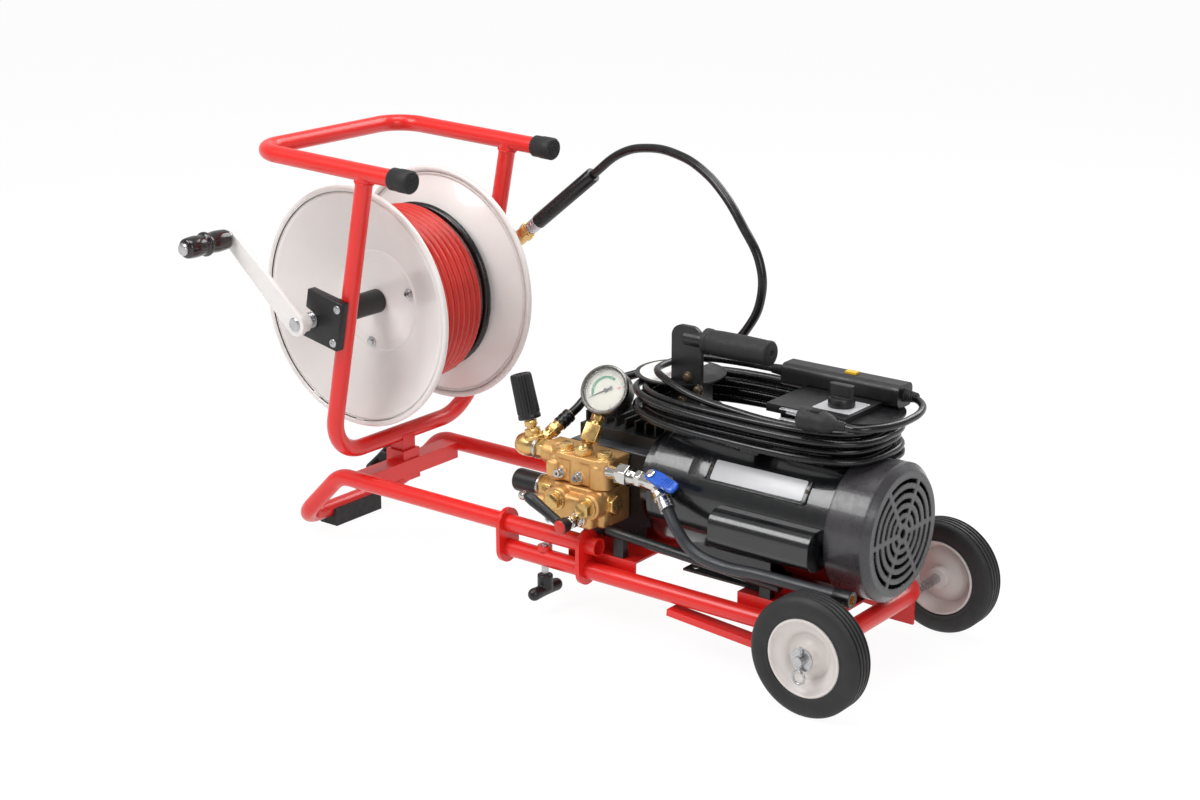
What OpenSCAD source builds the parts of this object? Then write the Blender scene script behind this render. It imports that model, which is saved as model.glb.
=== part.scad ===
// Electric drain jetter: a motor and plunger pump on a wheeled tube cart, with a hose reel cart at its front.
// X runs along the machine towards the wheels, Y across it, Z up. Places are measured from the axle's middle and
// the ground, and the whole machine is then moved so that its origin is under the middle of its box.

/* [Wheels and axle] */
// Wheel radius over the tread
wheel_r = 76.2; // [70:0.1:84]
// Tyre width
tyre_w = 37; // [32:0.5:40]
// Hub radius at the tyre's seat
hub_r = 50; // [46:0.5:56]
// Wheel middle plane from the machine's middle plane
wheel_y = 162; // [160:0.5:175]
// Axle radius
axle_r = 6.35; // [5:0.05:7]
// Depth of the tread grooves
groove_d = 2.5; // [1:0.1:4]

/* [Cart frames] */
// Diameter of the frame tubes
tube_d = 24; // [22:0.1:25]
// Wall of the frame tubes
tube_wall = 2; // [1.5:0.1:3]
// Rails from the middle plane
rail_y = 108; // [106:0.5:112]
// Reel cart rails above the motor cart rails
rail_rise = 35; // [32:0.5:42]
// Motor cart rails, from the axle to their front end
lower_len = 520; // [505:1:560]
// Bend radius of the frame corners, at the tube's middle
corner_r = 42; // [36:0.5:50]
// Reel cart rails: open end from the axle
upper_end = 359; // [340:1:366]
// Reel cart rails: start of the slope down to the foot, from the axle
knee_x = 826; // [822:1:840]
// Bend radius at the knees
knee_r = 45; // [40:1:50]
// Front clamp plate from the front end of the motor cart rails
clamp_front_in = 5; // [4:0.5:12]
// Rear clamp plate from the open end of the reel cart rails
clamp_rear_in = 21; // [15:0.5:40]
// Clamp plate thickness
clamp_t = 6; // [4:0.1:8]
// Height of the motor plates above the rail tubes
plate_lift = 10.4; // [8:0.1:14]
// Thickness of the motor plates
plate_t = 3; // [2:0.1:4]

/* [Support legs] */
// Leg pivot from the axle
leg_pivot_x = 26; // [22:0.5:32]
// Leg pivot height above the ground
leg_pivot_z = 38; // [34:0.5:42]
// Leg length from its pivot to its foot
leg_len = 217; // [200:1:230]
// Leg width
leg_w = 22; // [18:0.5:24]
// Leg depth
leg_h = 9; // [7:0.1:11]
// Rise of the folded leg
leg_tilt = 4.2; // [3:0.1:5]

/* [Motor] */
// Shell radius
motor_r = 82.5; // [78:0.1:85]
// Shell wall
motor_wall = 3; // [2:0.1:4]
// Shaft height above the foot
motor_h = 88.9; // [86:0.1:95]
// Shell length
motor_len = 271; // [260:1:276]
// Rear end of the shell, from the axle
motor_back = 24; // [20:0.5:28]
// End bell length on the pump side
bell_len = 30; // [26:0.5:34]
// Fan cover radius
cover_r = 88.4; // [87.5:0.1:92]
// Fan cover length
cover_len = 51.7; // [48:0.1:56]
// Shaft radius
shaft_r = 8; // [7:0.1:10]
// Foot plate length
foot_len = 120; // [110:1:130]
// Foot plate half width
foot_half = 80; // [75:0.5:84]
// Capacitor cover length
cap_len = 147; // [135:1:150]
// Capacitor cover height
cap_h = 52; // [46:0.5:54]

/* [Pump] */
// Crankcase length along the shaft
case_len = 133; // [128:1:138]
// Crankcase near face from the shaft
case_near = 43; // [41:0.5:46]
// Crankcase far face from the shaft
case_far = 66; // [60:0.5:72]
// Crankcase top above the shaft
case_top = 54; // [50:0.5:58]
// Height of the cooling fins
fin_h = 14; // [8:0.5:16]
// Brass head length
head_len = 118; // [112:1:122]
// Brass head depth
head_d = 57; // [52:0.5:62]
// Brass head top above the shaft
head_top = 37.5; // [34:0.5:42]
// Brass head bottom below the shaft
head_low = 54; // [50:0.5:54]
// Gauge case radius
gauge_r = 31.5; // [28:0.5:34]
// Gauge case depth
gauge_d = 28; // [24:0.5:32]
// Gauge tilt, upwards
gauge_tilt = 33; // [30:1:36]
// Unloader knob radius
unloader_r = 13.5; // [12:0.1:15]
// Unloader knob length
unloader_len = 62; // [56:0.5:66]

/* [Reel] */
// Flange radius
flange_r = 171.7; // [165:0.1:176]
// Flange from the middle plane
flange_y = 88; // [88:0.5:92]
// Flange sheet
flange_t = 2.5; // [2:0.1:3.5]
// Hub disc radius
hubplate_r = 73; // [68:0.5:75]
// Depth of the dish, from the rim to the hub disc
dish = 46; // [40:0.5:47]
// Drum radius
drum_r = 60; // [52:0.5:64]
// Reel shaft radius
reel_shaft_r = 9.5; // [8:0.1:10.5]
// Reel axis from the knees of the reel cart rails
reel_in = 22.6; // [20:0.1:26]
// Reel axis above the frame's bottom tube
reel_rise = 206; // [200:1:214]
// Frame uprights from the middle plane
upright_y = 147.4; // [144:0.1:150]
// Forward lean of the uprights
lean = 11.43; // [10:0.01:12]
// Height of the frame's bottom tube above the reel cart rails
base_rise = 42; // [40:0.5:46]
// Bend radius at the foot of the uprights
upright_bend = 62; // [56:0.5:68]
// Height of the push handle above the bottom tube
handle_rise = 415; // [408:1:430]
// Closed end of the push handle, from the reel axis
handle_front = 126.6; // [117:0.1:132]
// Open ends of the push handle, from the reel axis
handle_back = 155.4; // [148:0.1:166]
// Droop of the push handle
handle_tilt = 1.95; // [1:0.05:2.5]
// Crank length
crank_len = 159; // [150:1:164]
// Crank angle above the forward direction
crank_angle = 140; // [130:0.5:141]
// Grip length
grip_len = 76; // [66:1:90]
// Jet hose diameter
jet_d = 12; // [10:0.1:12.2]
// Turns of jet hose that show
jet_turns = 8; // [5:1:8]
// Radius of the wound hose at its near end
wound_r = 130; // [129:0.5:140]

/* [Hoses and cord] */
// Delivery hose diameter
hose_d = 12.4; // [11:0.1:13]
// Diameter of the sleeve on the delivery hose
sleeve_d = 22; // [19:0.1:23]
// Inlet hose diameter
inlet_d = 15.6; // [14:0.1:16]
// Power cord diameter
cord_d = 9.6; // [8:0.1:9.8]
// Step between cord loops
cord_step = 11.5; // [10.8:0.1:12]
// Half length of the outer cord loop
cord_a = 181.5; // [178:0.5:184]
// Half width of the outer cord loop
cord_b = 95; // [92:0.5:98]

/* [Hidden] */
// Clearances: running fits, seats that only touch, fixed seats, and the overrun of all cuts
run_gap = 0.05;
seat_gap = 0.3;
fix_gap = 0.1;
// A bend is this much thicker than its straight runs, which reach this far into it
bend_swell = 0.06;
bend_lap = 0.4;
cut = 5;
round_fn = 64;
small_fn = 32;

// Heights and places that follow from the sizes above
tube_r = tube_d / 2;
low_z = wheel_r;
high_z = wheel_r + rail_rise;
plate_z = low_z + tube_r + plate_lift;
shaft_z = plate_z + motor_h;
base_z = high_z + base_rise;
reel_z = base_z + reel_rise;
handle_z = base_z + handle_rise;
foot_lift = 12;
foot_z = tube_r + foot_lift;
foot_x = knee_x + high_z - foot_z;
reel_x = knee_x - reel_in;
handle_x = reel_x + handle_front;
handle_open = reel_x - handle_back;
top_x = -reel_x + handle_rise * tan(lean);
shell_front = -(motor_back + motor_len);
bell_front = shell_front - bell_len;
case_front = bell_front - case_len;
clamp_front_x = lower_len - clamp_front_in;
clamp_rear_x = upper_end + clamp_rear_in;
clamp_knob_share = 0.52;
clamp_knob_x = clamp_rear_x + clamp_knob_share * (clamp_front_x - clamp_rear_x);

// The origin lies under the middle of the box round everything but the cords
crank_y = 203;
grip_clear = 4;
arm_t = 7;
bolt_head_t = 6;
block_t = 14.3;
block_y = upright_y + tube_r + seat_gap;
swivel_y0 = block_y + block_t + seat_gap;
swivel_len = 16;
swivel_cap = 4;
box_x_low = min(-handle_x - tube_r, -reel_x - flange_r);
box_x_high = wheel_r;
box_y_low = -(crank_y + arm_t / 2 + grip_clear + grip_len + bolt_head_t);
box_y_high = swivel_y0 + swivel_len + swivel_cap;
x_mid = (box_x_low + box_x_high) / 2;
y_mid = (box_y_low + box_y_high) / 2;

module place() {
  translate([-x_mid, -y_mid, 0]) children();
}

// Vector helpers
function unit(v) = v / norm(v);
function aim(d) = [0, acos(d[2] / norm(d)), atan2(d[1], d[0])];
function carried(t, n, i = 0) =
  i >= len(t) ? [] : let (m = unit(n - (n * t[i]) * t[i])) concat([m], carried(t, m, i + 1));
function tangents(p) = [for (i = [0:len(p) - 1]) unit(p[min(i + 1, len(p) - 1)] - p[max(i - 1, 0)])];

// Children with their Z axis along d at p
module along(p, d, spin = 0) {
  translate(p) rotate(aim(d)) rotate([0, 0, spin]) children();
}

module rod(p, d, r, h) {
  along(p, d) cylinder(r = r, h = h, $fn = round_fn);
}

module ring(r_in, r_out, h) {
  difference() {
    cylinder(r = r_out, h = h, $fn = round_fn);
    translate([0, 0, -cut]) cylinder(r = r_in, h = h + 2 * cut, $fn = round_fn);
  }
}

module box(low, high) {
  translate(low) cube(high - low);
}

// One quarter or part bend of a tube between directions a and b at corner p
module bend(p, a, b, bend_r, r) {
  turn = acos(a * b);
  n = unit(cross(a, b));
  start = p - a * bend_r * tan(turn / 2);
  centre = start + cross(n, a) * bend_r;
  u = (start - centre) / bend_r;
  multmatrix([[u[0], a[0], n[0], centre[0]], [u[1], a[1], n[1], centre[1]], [u[2], a[2], n[2], centre[2]]])
    rotate_extrude(angle = turn, $fn = round_fn) translate([bend_r, 0]) circle(r = r + bend_swell, $fn = small_fn);
}

// Tube along points, with one bend radius per inner corner, and its ends run on by extra
module tube_run(p, bends, r, extra = 0) {
  last = len(p) - 1;
  d = [for (i = [0:last - 1]) unit(p[i + 1] - p[i])];
  trim = [for (i = [0:last]) i == 0 || i == last ? -extra : bends[i - 1] * tan(acos(d[i - 1] * d[i]) / 2)];
  lap = [for (i = [0:last]) i == 0 || i == last ? 0 : bend_lap];
  for (i = [0:last - 1])
    rod(p[i] + d[i] * (trim[i] - lap[i]), d[i], r,
        norm(p[i + 1] - p[i]) - trim[i] - trim[i + 1] + lap[i] + lap[i + 1]);
  for (i = [1:last - 1])
    bend(p[i], d[i - 1], d[i], bends[i - 1], r);
}

module hollow_run(p, bends) {
  difference() {
    tube_run(p, bends, tube_r);
    tube_run(p, bends, tube_r - tube_wall, cut);
  }
}

// Round tube along points, with one radius per point, as rings of the given number of sides
module swept(p, radii, sides, up) {
  t = tangents(p);
  n = carried(t, up);
  rings = len(p);
  points = [
    for (i = [0:rings - 1])
      for (j = [0:sides - 1])
        p[i] + radii[i] * (cos(360 * j / sides) * n[i] + sin(360 * j / sides) * cross(t[i], n[i]))
  ];
  skin = [
    for (i = [0:rings - 2])
      for (j = [0:sides - 1])
        let (k = (j + 1) % sides, a = i * sides, b = a + sides)
        each [[a + j, b + j, b + k], [a + j, b + k, a + k]]
  ];
  start_cap = [for (j = [1:sides - 2]) [0, j, j + 1]];
  end = (rings - 1) * sides;
  end_cap = [for (j = [1:sides - 2]) [end, end + j + 1, end + j]];
  polyhedron(points = points, faces = concat(skin, start_cap, end_cap));
}

// Smooth curve through route points
function spline_at(p, i, u) =
  let (a = p[max(i - 1, 0)], b = p[i], c = p[i + 1], d = p[min(i + 2, len(p) - 1)])
  0.5 * (2 * b + (c - a) * u + (2 * a - 5 * b + 4 * c - d) * u * u + (3 * b - a - 3 * c + d) * u * u * u);
function spline(p, steps) =
  concat([for (i = [0:len(p) - 2]) for (s = [0:steps - 1]) spline_at(p, i, s / steps)], [p[len(p) - 1]]);
function smooth_step(u) = let (v = max(0, min(1, u))) v * v * (3 - 2 * v);
function least_gap(p, apart, d) =
  min([for (i = [0:3:len(p) - 1]) for (j = [i + apart:1:len(p) - 1]) norm(p[i] - p[j])]) - d;

// Motor cart: one bent tube that the axle passes through, with clamp screws' bosses on its rails
boss_r = 10;
boss_h = 5;
stem_r = 5;
lower_path = [
  [-lower_len, -rail_y, low_z], [0, -rail_y, low_z], [0, rail_y, low_z], [-lower_len, rail_y, low_z]
];

module lower_frame() {
  color("#d8261c") place() difference() {
    union() {
      hollow_run(lower_path, [corner_r, corner_r]);
      for (side = [-1, 1])
        translate([-clamp_knob_x, side * rail_y, low_z + tube_r - tube_wall])
          cylinder(r = boss_r, h = boss_h + tube_wall, $fn = round_fn);
    }
    rod([0, -wheel_y, low_z], [0, 1, 0], axle_r + run_gap, 2 * wheel_y);
    for (side = [-1, 1])
      translate([-clamp_knob_x, side * rail_y, low_z - tube_d])
        cylinder(r = stem_r + run_gap, h = 2 * tube_d + boss_h, $fn = round_fn);
  }
}

// Four oblong plates that hold both tubes of each side
clamp_rim = 8.5;

module clamp_plate(x, side) {
  translate([x - clamp_t / 2, side * rail_y, low_z]) rotate([0, 90, 0]) difference() {
    union() {
      cylinder(r = tube_r + clamp_rim, h = clamp_t, $fn = round_fn);
      translate([-rail_rise, 0, 0]) cylinder(r = tube_r + clamp_rim, h = clamp_t, $fn = round_fn);
      translate([-rail_rise, -tube_r - clamp_rim, 0]) cube([rail_rise, tube_d + 2 * clamp_rim, clamp_t]);
    }
    translate([0, 0, -cut]) cylinder(r = tube_r + run_gap, h = clamp_t + 2 * cut, $fn = round_fn);
    translate([-rail_rise, 0, -cut]) cylinder(r = tube_r + run_gap, h = clamp_t + 2 * cut, $fn = round_fn);
  }
}

// Brackets under the rails that carry the legs' pivots
bracket_t = 4;
bracket_l = 44;
pivot_r = 5;
pivot_over = 10;
pivot_len = leg_w + pivot_over;
bracket_low_share = 0.5;

module leg_bracket(side) {
  inner_y = side * (rail_y - leg_w / 2 - seat_gap);
  low = leg_pivot_z - leg_w * bracket_low_share;
  bracket_end = side > 0 ? inner_y - bracket_t : inner_y;
  box([-leg_pivot_x - bracket_l / 2, bracket_end, low],
      [-leg_pivot_x + bracket_l / 2, bracket_end + bracket_t, low_z - tube_r - fix_gap]);
  rod([-leg_pivot_x, inner_y - side * bracket_t / 2, leg_pivot_z], [0, side, 0], pivot_r, pivot_len);
}

// Cross plates between the rails, with tongues under the motor's foot
front_plate_back = [95, 15];
front_plate_x = [bell_front - front_plate_back[0], bell_front + front_plate_back[1]];
rear_plate_x = [-150, -10];
front_tongue = 85;
tongue_y = 45;
skirt_h = 22;
plate_y = rail_y - tube_r - fix_gap;

module cross_plate(xs) {
  box([xs[0], -plate_y, plate_z - plate_t], [xs[1], plate_y, plate_z]);
  for (side = [-1, 1])
    box([xs[0], side > 0 ? plate_y - plate_t : -plate_y, plate_z - skirt_h],
        [min(xs[1], -corner_r - tube_r), side > 0 ? plate_y : -plate_y + plate_t, plate_z - plate_t]);
}

module frame_plates() {
  color("#cf2119") place() {
    for (side = [-1, 1]) {
      clamp_plate(-clamp_front_x, side);
      clamp_plate(-clamp_rear_x, side);
      leg_bracket(side);
    }
    cross_plate(front_plate_x);
    box([front_plate_x[1], -tongue_y, plate_z - plate_t], [front_plate_x[1] + front_tongue, tongue_y, plate_z]);
    cross_plate(rear_plate_x);
  }
}

// Folding support legs: shallow channels with a drilled end
leg_wall = 3;
leg_foot = 12;

module leg(side) {
  translate([-leg_pivot_x, side * rail_y, leg_pivot_z]) rotate([0, leg_tilt, 0]) difference() {
    union() {
      box([-leg_len, -leg_w / 2, -leg_h / 2], [0, leg_w / 2, leg_h / 2]);
      translate([0, leg_w / 2, 0]) rotate([90, 0, 0]) cylinder(r = leg_h, h = leg_w, $fn = round_fn);
    }
    box([-leg_len + leg_foot, -leg_w / 2 + leg_wall, -leg_h],
        [-2 * leg_h, leg_w / 2 - leg_wall, leg_h / 2 - leg_wall]);
    translate([0, leg_w, 0]) rotate([90, 0, 0])
      cylinder(r = pivot_r + run_gap, h = 2 * leg_w, $fn = round_fn);
  }
}

module leg_near() {
  color("#d8261c") place() leg(-1);
}

module leg_far() {
  color("#d8261c") place() leg(1);
}

// Wheels: profiles are shares of the hub or wheel radius and of half the tyre width
washer_t = 2.5;
washer_r = 15;
pin_r = 1.6;
pin_len = 30;
pin_ring_r = 8;
hub_boss_r = 14;
hub_boss_half = 20;
axle_over = 9;
hub_front_shares = [[1, 0.92], [0.93, 0.95], [0.86, 0.66], [0.66, 0.4], [0.6, 0.02], [0.42, -0.08]];
hub_back_shares = [[0.42, -0.3], [0.63, -0.2], [0.7, 0.2], [0.88, 0.46], [0.93, -0.92], [1, -0.92]];
tyre_shares = [[0, -0.8], [0.3, -1], [0.75, -0.98], [1, -0.76], [1, 0.76], [0.75, 0.98], [0.3, 1], [0, 0.8]];
groove_shares = [-0.54, -0.18, 0.18, 0.54];
groove_w_share = 0.07;
wheel_bore = axle_r + run_gap;

module wheel_place(side) {
  translate([0, side * wheel_y, low_z]) rotate([-90 * side, 0, 0]) children();
}

module tyre() {
  half = tyre_w / 2;
  depth = wheel_r - hub_r - fix_gap;
  rotate_extrude($fn = round_fn) difference() {
    polygon([for (s = tyre_shares) [hub_r + fix_gap + s[0] * depth, s[1] * half]]);
    for (s = groove_shares)
      translate([wheel_r - groove_d, (s - groove_w_share) * half]) square([cut, 2 * groove_w_share * half]);
  }
}

module hub() {
  half = tyre_w / 2;
  profile = concat(hub_front_shares, hub_back_shares);
  difference() {
    union() {
      rotate_extrude($fn = round_fn) polygon([for (s = profile) [hub_r * s[0], half * s[1]]]);
      translate([0, 0, -hub_boss_half]) cylinder(r = hub_boss_r, h = 2 * hub_boss_half - washer_t, $fn = round_fn);
      translate([0, 0, -half / 4]) cylinder(r = hub_r / 2, h = half / 5, $fn = round_fn);
    }
    translate([0, 0, -hub_boss_half - cut])
      cylinder(r = wheel_bore, h = 2 * (hub_boss_half + cut), $fn = round_fn);
  }
}

module near_tyre() {
  color("#1b1b1d") place() wheel_place(-1) tyre();
}

module near_hub() {
  color("#b3aba6") place() wheel_place(-1) hub();
}

module far_tyre() {
  color("#1b1b1d") place() wheel_place(1) tyre();
}

module far_hub() {
  color("#b3aba6") place() wheel_place(1) hub();
}

axle_half = wheel_y + hub_boss_half + axle_over;
pin_z = hub_boss_half + axle_over / 2;

module axle() {
  color("#b9bbbd") place() difference() {
    rod([0, -axle_half, low_z], [0, 1, 0], axle_r, 2 * axle_half);
    for (side = [-1, 1])
      wheel_place(side) translate([0, 0, pin_z]) rotate([90, 0, 0])
        cylinder(r = pin_r + run_gap, h = pin_len, center = true, $fn = small_fn);
  }
}

// A washer and a ring pin outside each wheel
module axle_pins() {
  color("#c9cbcc") place() for (side = [-1, 1])
    wheel_place(side) {
      translate([0, 0, hub_boss_half - washer_t + seat_gap])
        ring(axle_r + run_gap, washer_r, washer_t - seat_gap);
      translate([0, 0, pin_z]) rotate([90, 0, 0]) {
        cylinder(r = pin_r, h = pin_len, center = true, $fn = small_fn);
        translate([0, 0, pin_len / 2 + pin_ring_r - pin_r]) rotate([90, 0, 0])
          rotate_extrude($fn = round_fn) translate([pin_ring_r, 0]) circle(r = pin_r, $fn = small_fn);
      }
    }
}

// Motor, along X
module on_shaft(x) {
  translate([x, 0, shaft_z]) rotate([0, 90, 0]) children();
}

foot_in = 50;
foot_x0 = shell_front + foot_in;
foot_web_y = 58;
foot_web_t = 4;
foot_hole_r = 4.5;
foot_hole_in = 12;

module motor_shell() {
  color("#26272b") place() difference() {
    union() {
      on_shaft(shell_front) cylinder(r = motor_r, h = motor_len, $fn = round_fn);
      box([foot_x0, -foot_half, plate_z], [foot_x0 + foot_len, foot_half, plate_z + plate_t]);
      for (side = [-1, 1])
        box([foot_x0, side * foot_web_y - foot_web_t / 2, plate_z],
            [foot_x0 + foot_len, side * foot_web_y + foot_web_t / 2, shaft_z - motor_r / 2]);
    }
    on_shaft(shell_front - cut) cylinder(r = motor_r - motor_wall, h = motor_len + 2 * cut, $fn = round_fn);
    for (x = [foot_x0 + foot_hole_in, foot_x0 + foot_len - foot_hole_in])
      for (side = [-1, 1])
        translate([x, side * (foot_half - foot_hole_in), plate_z - cut])
          cylinder(r = foot_hole_r, h = plate_t + 2 * cut, $fn = small_fn);
  }
}

spigot = 8;
rear_bell_len = 10;
bell_neck_share = 0.8;
bearing_t = 12;

// End bells with the shaft's bearings bored in them
module end_bells() {
  color("#2c2d31") place() {
    difference() {
      union() {
        on_shaft(bell_front) cylinder(r = motor_r * bell_neck_share, h = bell_len, $fn = round_fn);
        on_shaft(shell_front - spigot) cylinder(r = motor_r, h = spigot, $fn = round_fn);
        on_shaft(shell_front) cylinder(r = motor_r - motor_wall - fix_gap, h = spigot, $fn = round_fn);
      }
      on_shaft(bell_front - cut) cylinder(r = shaft_r + run_gap, h = bell_len + spigot + 2 * cut, $fn = round_fn);
    }
    on_shaft(-motor_back - rear_bell_len) ring(shaft_r + run_gap, motor_r - motor_wall - fix_gap, rear_bell_len);
  }
}

cover_wall = 2.5;
cover_bevel = 9;
slot_rows = 5;
slot_first = 14;
slot_step = 12.5;
slot_w = 5.5;
spoke_w = 7;
hub_hole_r = 6;

// Fan cover: a bevelled cup with rings of slots parted by six spokes
module fan_cover() {
  color("#303136") place() on_shaft(-motor_back + fix_gap) {
    inside = cover_r - cover_wall;
    deep = cover_len - cover_wall;
    difference() {
      rotate_extrude($fn = round_fn) polygon([
        [hub_hole_r, cover_len], [cover_r - cover_bevel, cover_len], [cover_r, cover_len - cover_bevel],
        [cover_r, -spigot], [inside, -spigot], [inside, cover_len - cover_bevel],
        [inside - cover_bevel + cover_wall / 2, deep], [hub_hole_r, deep]
      ]);
      difference() {
        for (i = [0:slot_rows - 1])
          translate([0, 0, deep - cut])
            ring(slot_first + i * slot_step, slot_first + i * slot_step + slot_w, 3 * cut);
        for (a = [0, 60, 120])
          rotate([0, 0, a + 30]) translate([-cover_r, -spoke_w / 2, deep - 2 * cut])
            cube([2 * cover_r, spoke_w, 6 * cut]);
      }
    }
    for (a = [45:90:315])
      rotate([0, 0, a]) translate([motor_r + fix_gap, -spoke_w / 2, -spigot])
        cube([inside - motor_r - fix_gap, spoke_w, spigot]);
  }
}

stator_r = 46;
stator_len = 150;
stator_in = 45;
stator_x = shell_front + stator_in;

module stator() {
  color("#8a5a34") place() on_shaft(stator_x) ring(stator_r, motor_r - motor_wall - fix_gap, stator_len);
}

rotor_gap = 0.8;
rotor_reach = 115;
rotor_x0 = bell_front - rotor_reach;
rotor_x1 = 5;

// Rotor and the shaft that runs on into the pump
module rotor_shaft() {
  color("#9b9da0") place() {
    on_shaft(rotor_x0) cylinder(r = shaft_r, h = rotor_x1 - rotor_x0, $fn = round_fn);
    on_shaft(stator_x) cylinder(r = stator_r - rotor_gap, h = stator_len, $fn = round_fn);
  }
}

fan_x = -16;
fan_hub_r = 22;
fan_r = 76;
fan_t = 4;
fan_w = 20;
fan_blades = 8;
blade_t = 3;

module cooling_fan() {
  color("#3a3b3f") place() on_shaft(fan_x) {
    ring(shaft_r + run_gap, fan_hub_r, fan_w);
    ring(fan_hub_r - fan_t, fan_r, fan_t);
    for (i = [0:fan_blades - 1])
      rotate([0, 0, 360 * i / fan_blades]) translate([fan_hub_r - fan_t, -blade_t / 2, 0])
        cube([fan_r - fan_hub_r, blade_t, fan_w]);
  }
}

cap_back = 15;
cap_x = -motor_back - cap_back - cap_len;
cap_low = 38;
cap_out = 30;
cap_round = 20;

// Capacitor cover on the near side of the shell
module capacitor_cover() {
  color("#17181b") place() difference() {
    union() {
      box([cap_x, -motor_r - cap_out + cap_round, shaft_z - cap_low],
          [cap_x + cap_len, -motor_r / 2, shaft_z - cap_low + cap_h]);
      box([cap_x, -motor_r - cap_out, shaft_z - cap_low + cap_round],
          [cap_x + cap_len, -motor_r / 2, shaft_z - cap_low + cap_h - cap_round]);
      for (z = [cap_round, cap_h - cap_round])
        rod([cap_x, -motor_r - cap_out + cap_round, shaft_z - cap_low + z], [1, 0, 0], cap_round, cap_len);
    }
    on_shaft(cap_x - cut) cylinder(r = motor_r + fix_gap, h = cap_len + 2 * cut, $fn = round_fn);
  }
}

// Pump crankcase: a finned block on two feet, with the crank's chamber inside
fin_n = 9;
fin_t = 3;
case_low = 60;
case_wall = 8;
pump_foot_w = 22;
plunger_r = 9;
plunger_len = 46;
chamber_r = 34;
case_ledge = 22;
fin_in = 34;
case_ledge_up = 36.5;
plunger_shares = [0.24, 0.5, 0.76];
head_back = 150;
head_x0 = bell_front - head_back;

module pump_crankcase() {
  body_top = case_top + shaft_z;
  color("#202124") place() difference() {
    union() {
      box([case_front, -case_near, shaft_z - case_low], [bell_front - fix_gap, case_far, body_top]);
      for (i = [0:fin_n - 1])
        translate([case_front + i * (case_len - fin_t - fix_gap) / (fin_n - 1), fin_in - case_near, body_top])
          cube([fin_t, case_near + case_far - fin_in, fin_h]);
      for (y = [-case_near, case_far - pump_foot_w])
        box([case_front + pump_foot_w, y, plate_z],
            [bell_front - pump_foot_w, y + pump_foot_w, shaft_z - case_low]);
    }
    box([case_front - cut, -case_near - cut, shaft_z + case_ledge_up],
        [bell_front + cut, -case_near + case_ledge, body_top + fin_h + cut]);
    on_shaft(case_front + case_wall) cylinder(r = chamber_r, h = case_len - 2 * case_wall, $fn = round_fn);
    on_shaft(bell_front - 2 * case_wall) cylinder(r = shaft_r + run_gap, h = 4 * case_wall, $fn = round_fn);
    for (s = plunger_shares)
      rod([head_x0 + s * head_len, -case_near - cut, shaft_z], [0, 1, 0], plunger_r + run_gap, case_near + cut);
  }
}

// Three plungers that slide in the crankcase and reach into the brass head
module plungers() {
  color("#e6e3da") place() for (s = plunger_shares)
    rod([head_x0 + s * head_len, -case_near - plunger_len / 2, shaft_z], [0, 1, 0], plunger_r,
        plunger_len / 2 + case_near - chamber_r + plunger_r);
}

// Brass head: a block with bulged valve columns, a stepped lower half and threaded ports
head_step = 18;
head_step_z = 8;
column_r = 17;
lower_share = 0.42;
seat_r = 14;

module pump_head() {
  y_back = -case_near - fix_gap;
  y_front = y_back - head_d;
  z_low = shaft_z - head_low;
  z_step = shaft_z - head_step_z;
  color("#b58a45") place() difference() {
    union() {
      box([head_x0, y_front + column_r, z_low], [head_x0 + head_len, y_back, shaft_z + head_top]);
      box([head_x0 + column_r, y_front, z_low + column_r],
          [head_x0 + head_len - column_r, y_back, shaft_z + head_top]);
      for (s = [0, 1])
        translate([head_x0 + column_r + s * (head_len - 2 * column_r), y_front + column_r, z_low])
          cylinder(r = column_r, h = head_top + head_low, $fn = round_fn);
      box([head_x0 + column_r, y_front - head_step, z_low],
          [head_x0 + head_len - column_r, y_front + column_r, z_step]);
      for (s = front_hex_shares)
        rod([head_x0 + s * head_len, y_front - head_step, shaft_z - front_hex_drop], [0, 1, 0], seat_r,
            head_step + column_r);
    }
    for (s = plunger_shares)
      rod([head_x0 + s * head_len, y_back - plunger_len / 2 - cut, shaft_z], [0, 1, 0], plunger_r + run_gap,
          plunger_len / 2 + 2 * cut);
  }
}

head_front = -case_near - fix_gap - head_d;
head_right = head_x0 + head_len;
hex_r = 11;
hex_h = 9;
cap_shares = [0.37, 0.62, 0.91];
front_hex_shares = [0.44, 0.88];
front_hex_drop = 21.5;
front_hex_r = 12;
front_hex_h = 12;
side_hex_r = 14;
damper_r = 16;
damper_len = 42;
gauge_y_share = 0.735;

// Hex caps on the head's top, front and side, and the pulsation damper's neck
module valve_caps() {
  color("#caa052") place() {
    gauge_stem();
    for (s = [cap_shares[0], cap_shares[2]])
      translate([head_x0 + s * head_len, gauge_foot[1], shaft_z + head_top + fix_gap])
        cylinder(r = hex_r, h = hex_h, $fn = 6);
    for (s = front_hex_shares)
      along([head_x0 + s * head_len, head_front - head_step - 2 * fix_gap, shaft_z - front_hex_drop], [0, -1, 0])
        cylinder(r = front_hex_r, h = front_hex_h, $fn = 6);
    along([head_right + fix_gap, head_front + column_r, shaft_z - head_low * lower_share], [1, 0, 0])
      cylinder(r = side_hex_r, h = hex_h, $fn = 6);
    along([head_x0 - fix_gap, damper_y, damper_z], [-1, 0, 0]) cylinder(r = damper_r, h = hex_h, $fn = 6);
  }
}

damper_y = -case_near - head_d / 2;
damper_z = shaft_z - head_low / 2;

module damper_cap() {
  color("#1d1d1f") place()
    rod([head_x0 - hex_h - 2 * fix_gap, damper_y, damper_z], [-1, 0, 0], damper_r - fix_gap, damper_len);
}

// Socket screws of the head and the bracket's bolts
screw_r = 5;
screw_h = 7;
socket_r = 2.6;
socket_deep = 4;
upper_screw_z = 10;
lower_screw_z = -48;
screw_shares = [0.08, 0.37, 0.63, 0.92];

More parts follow.
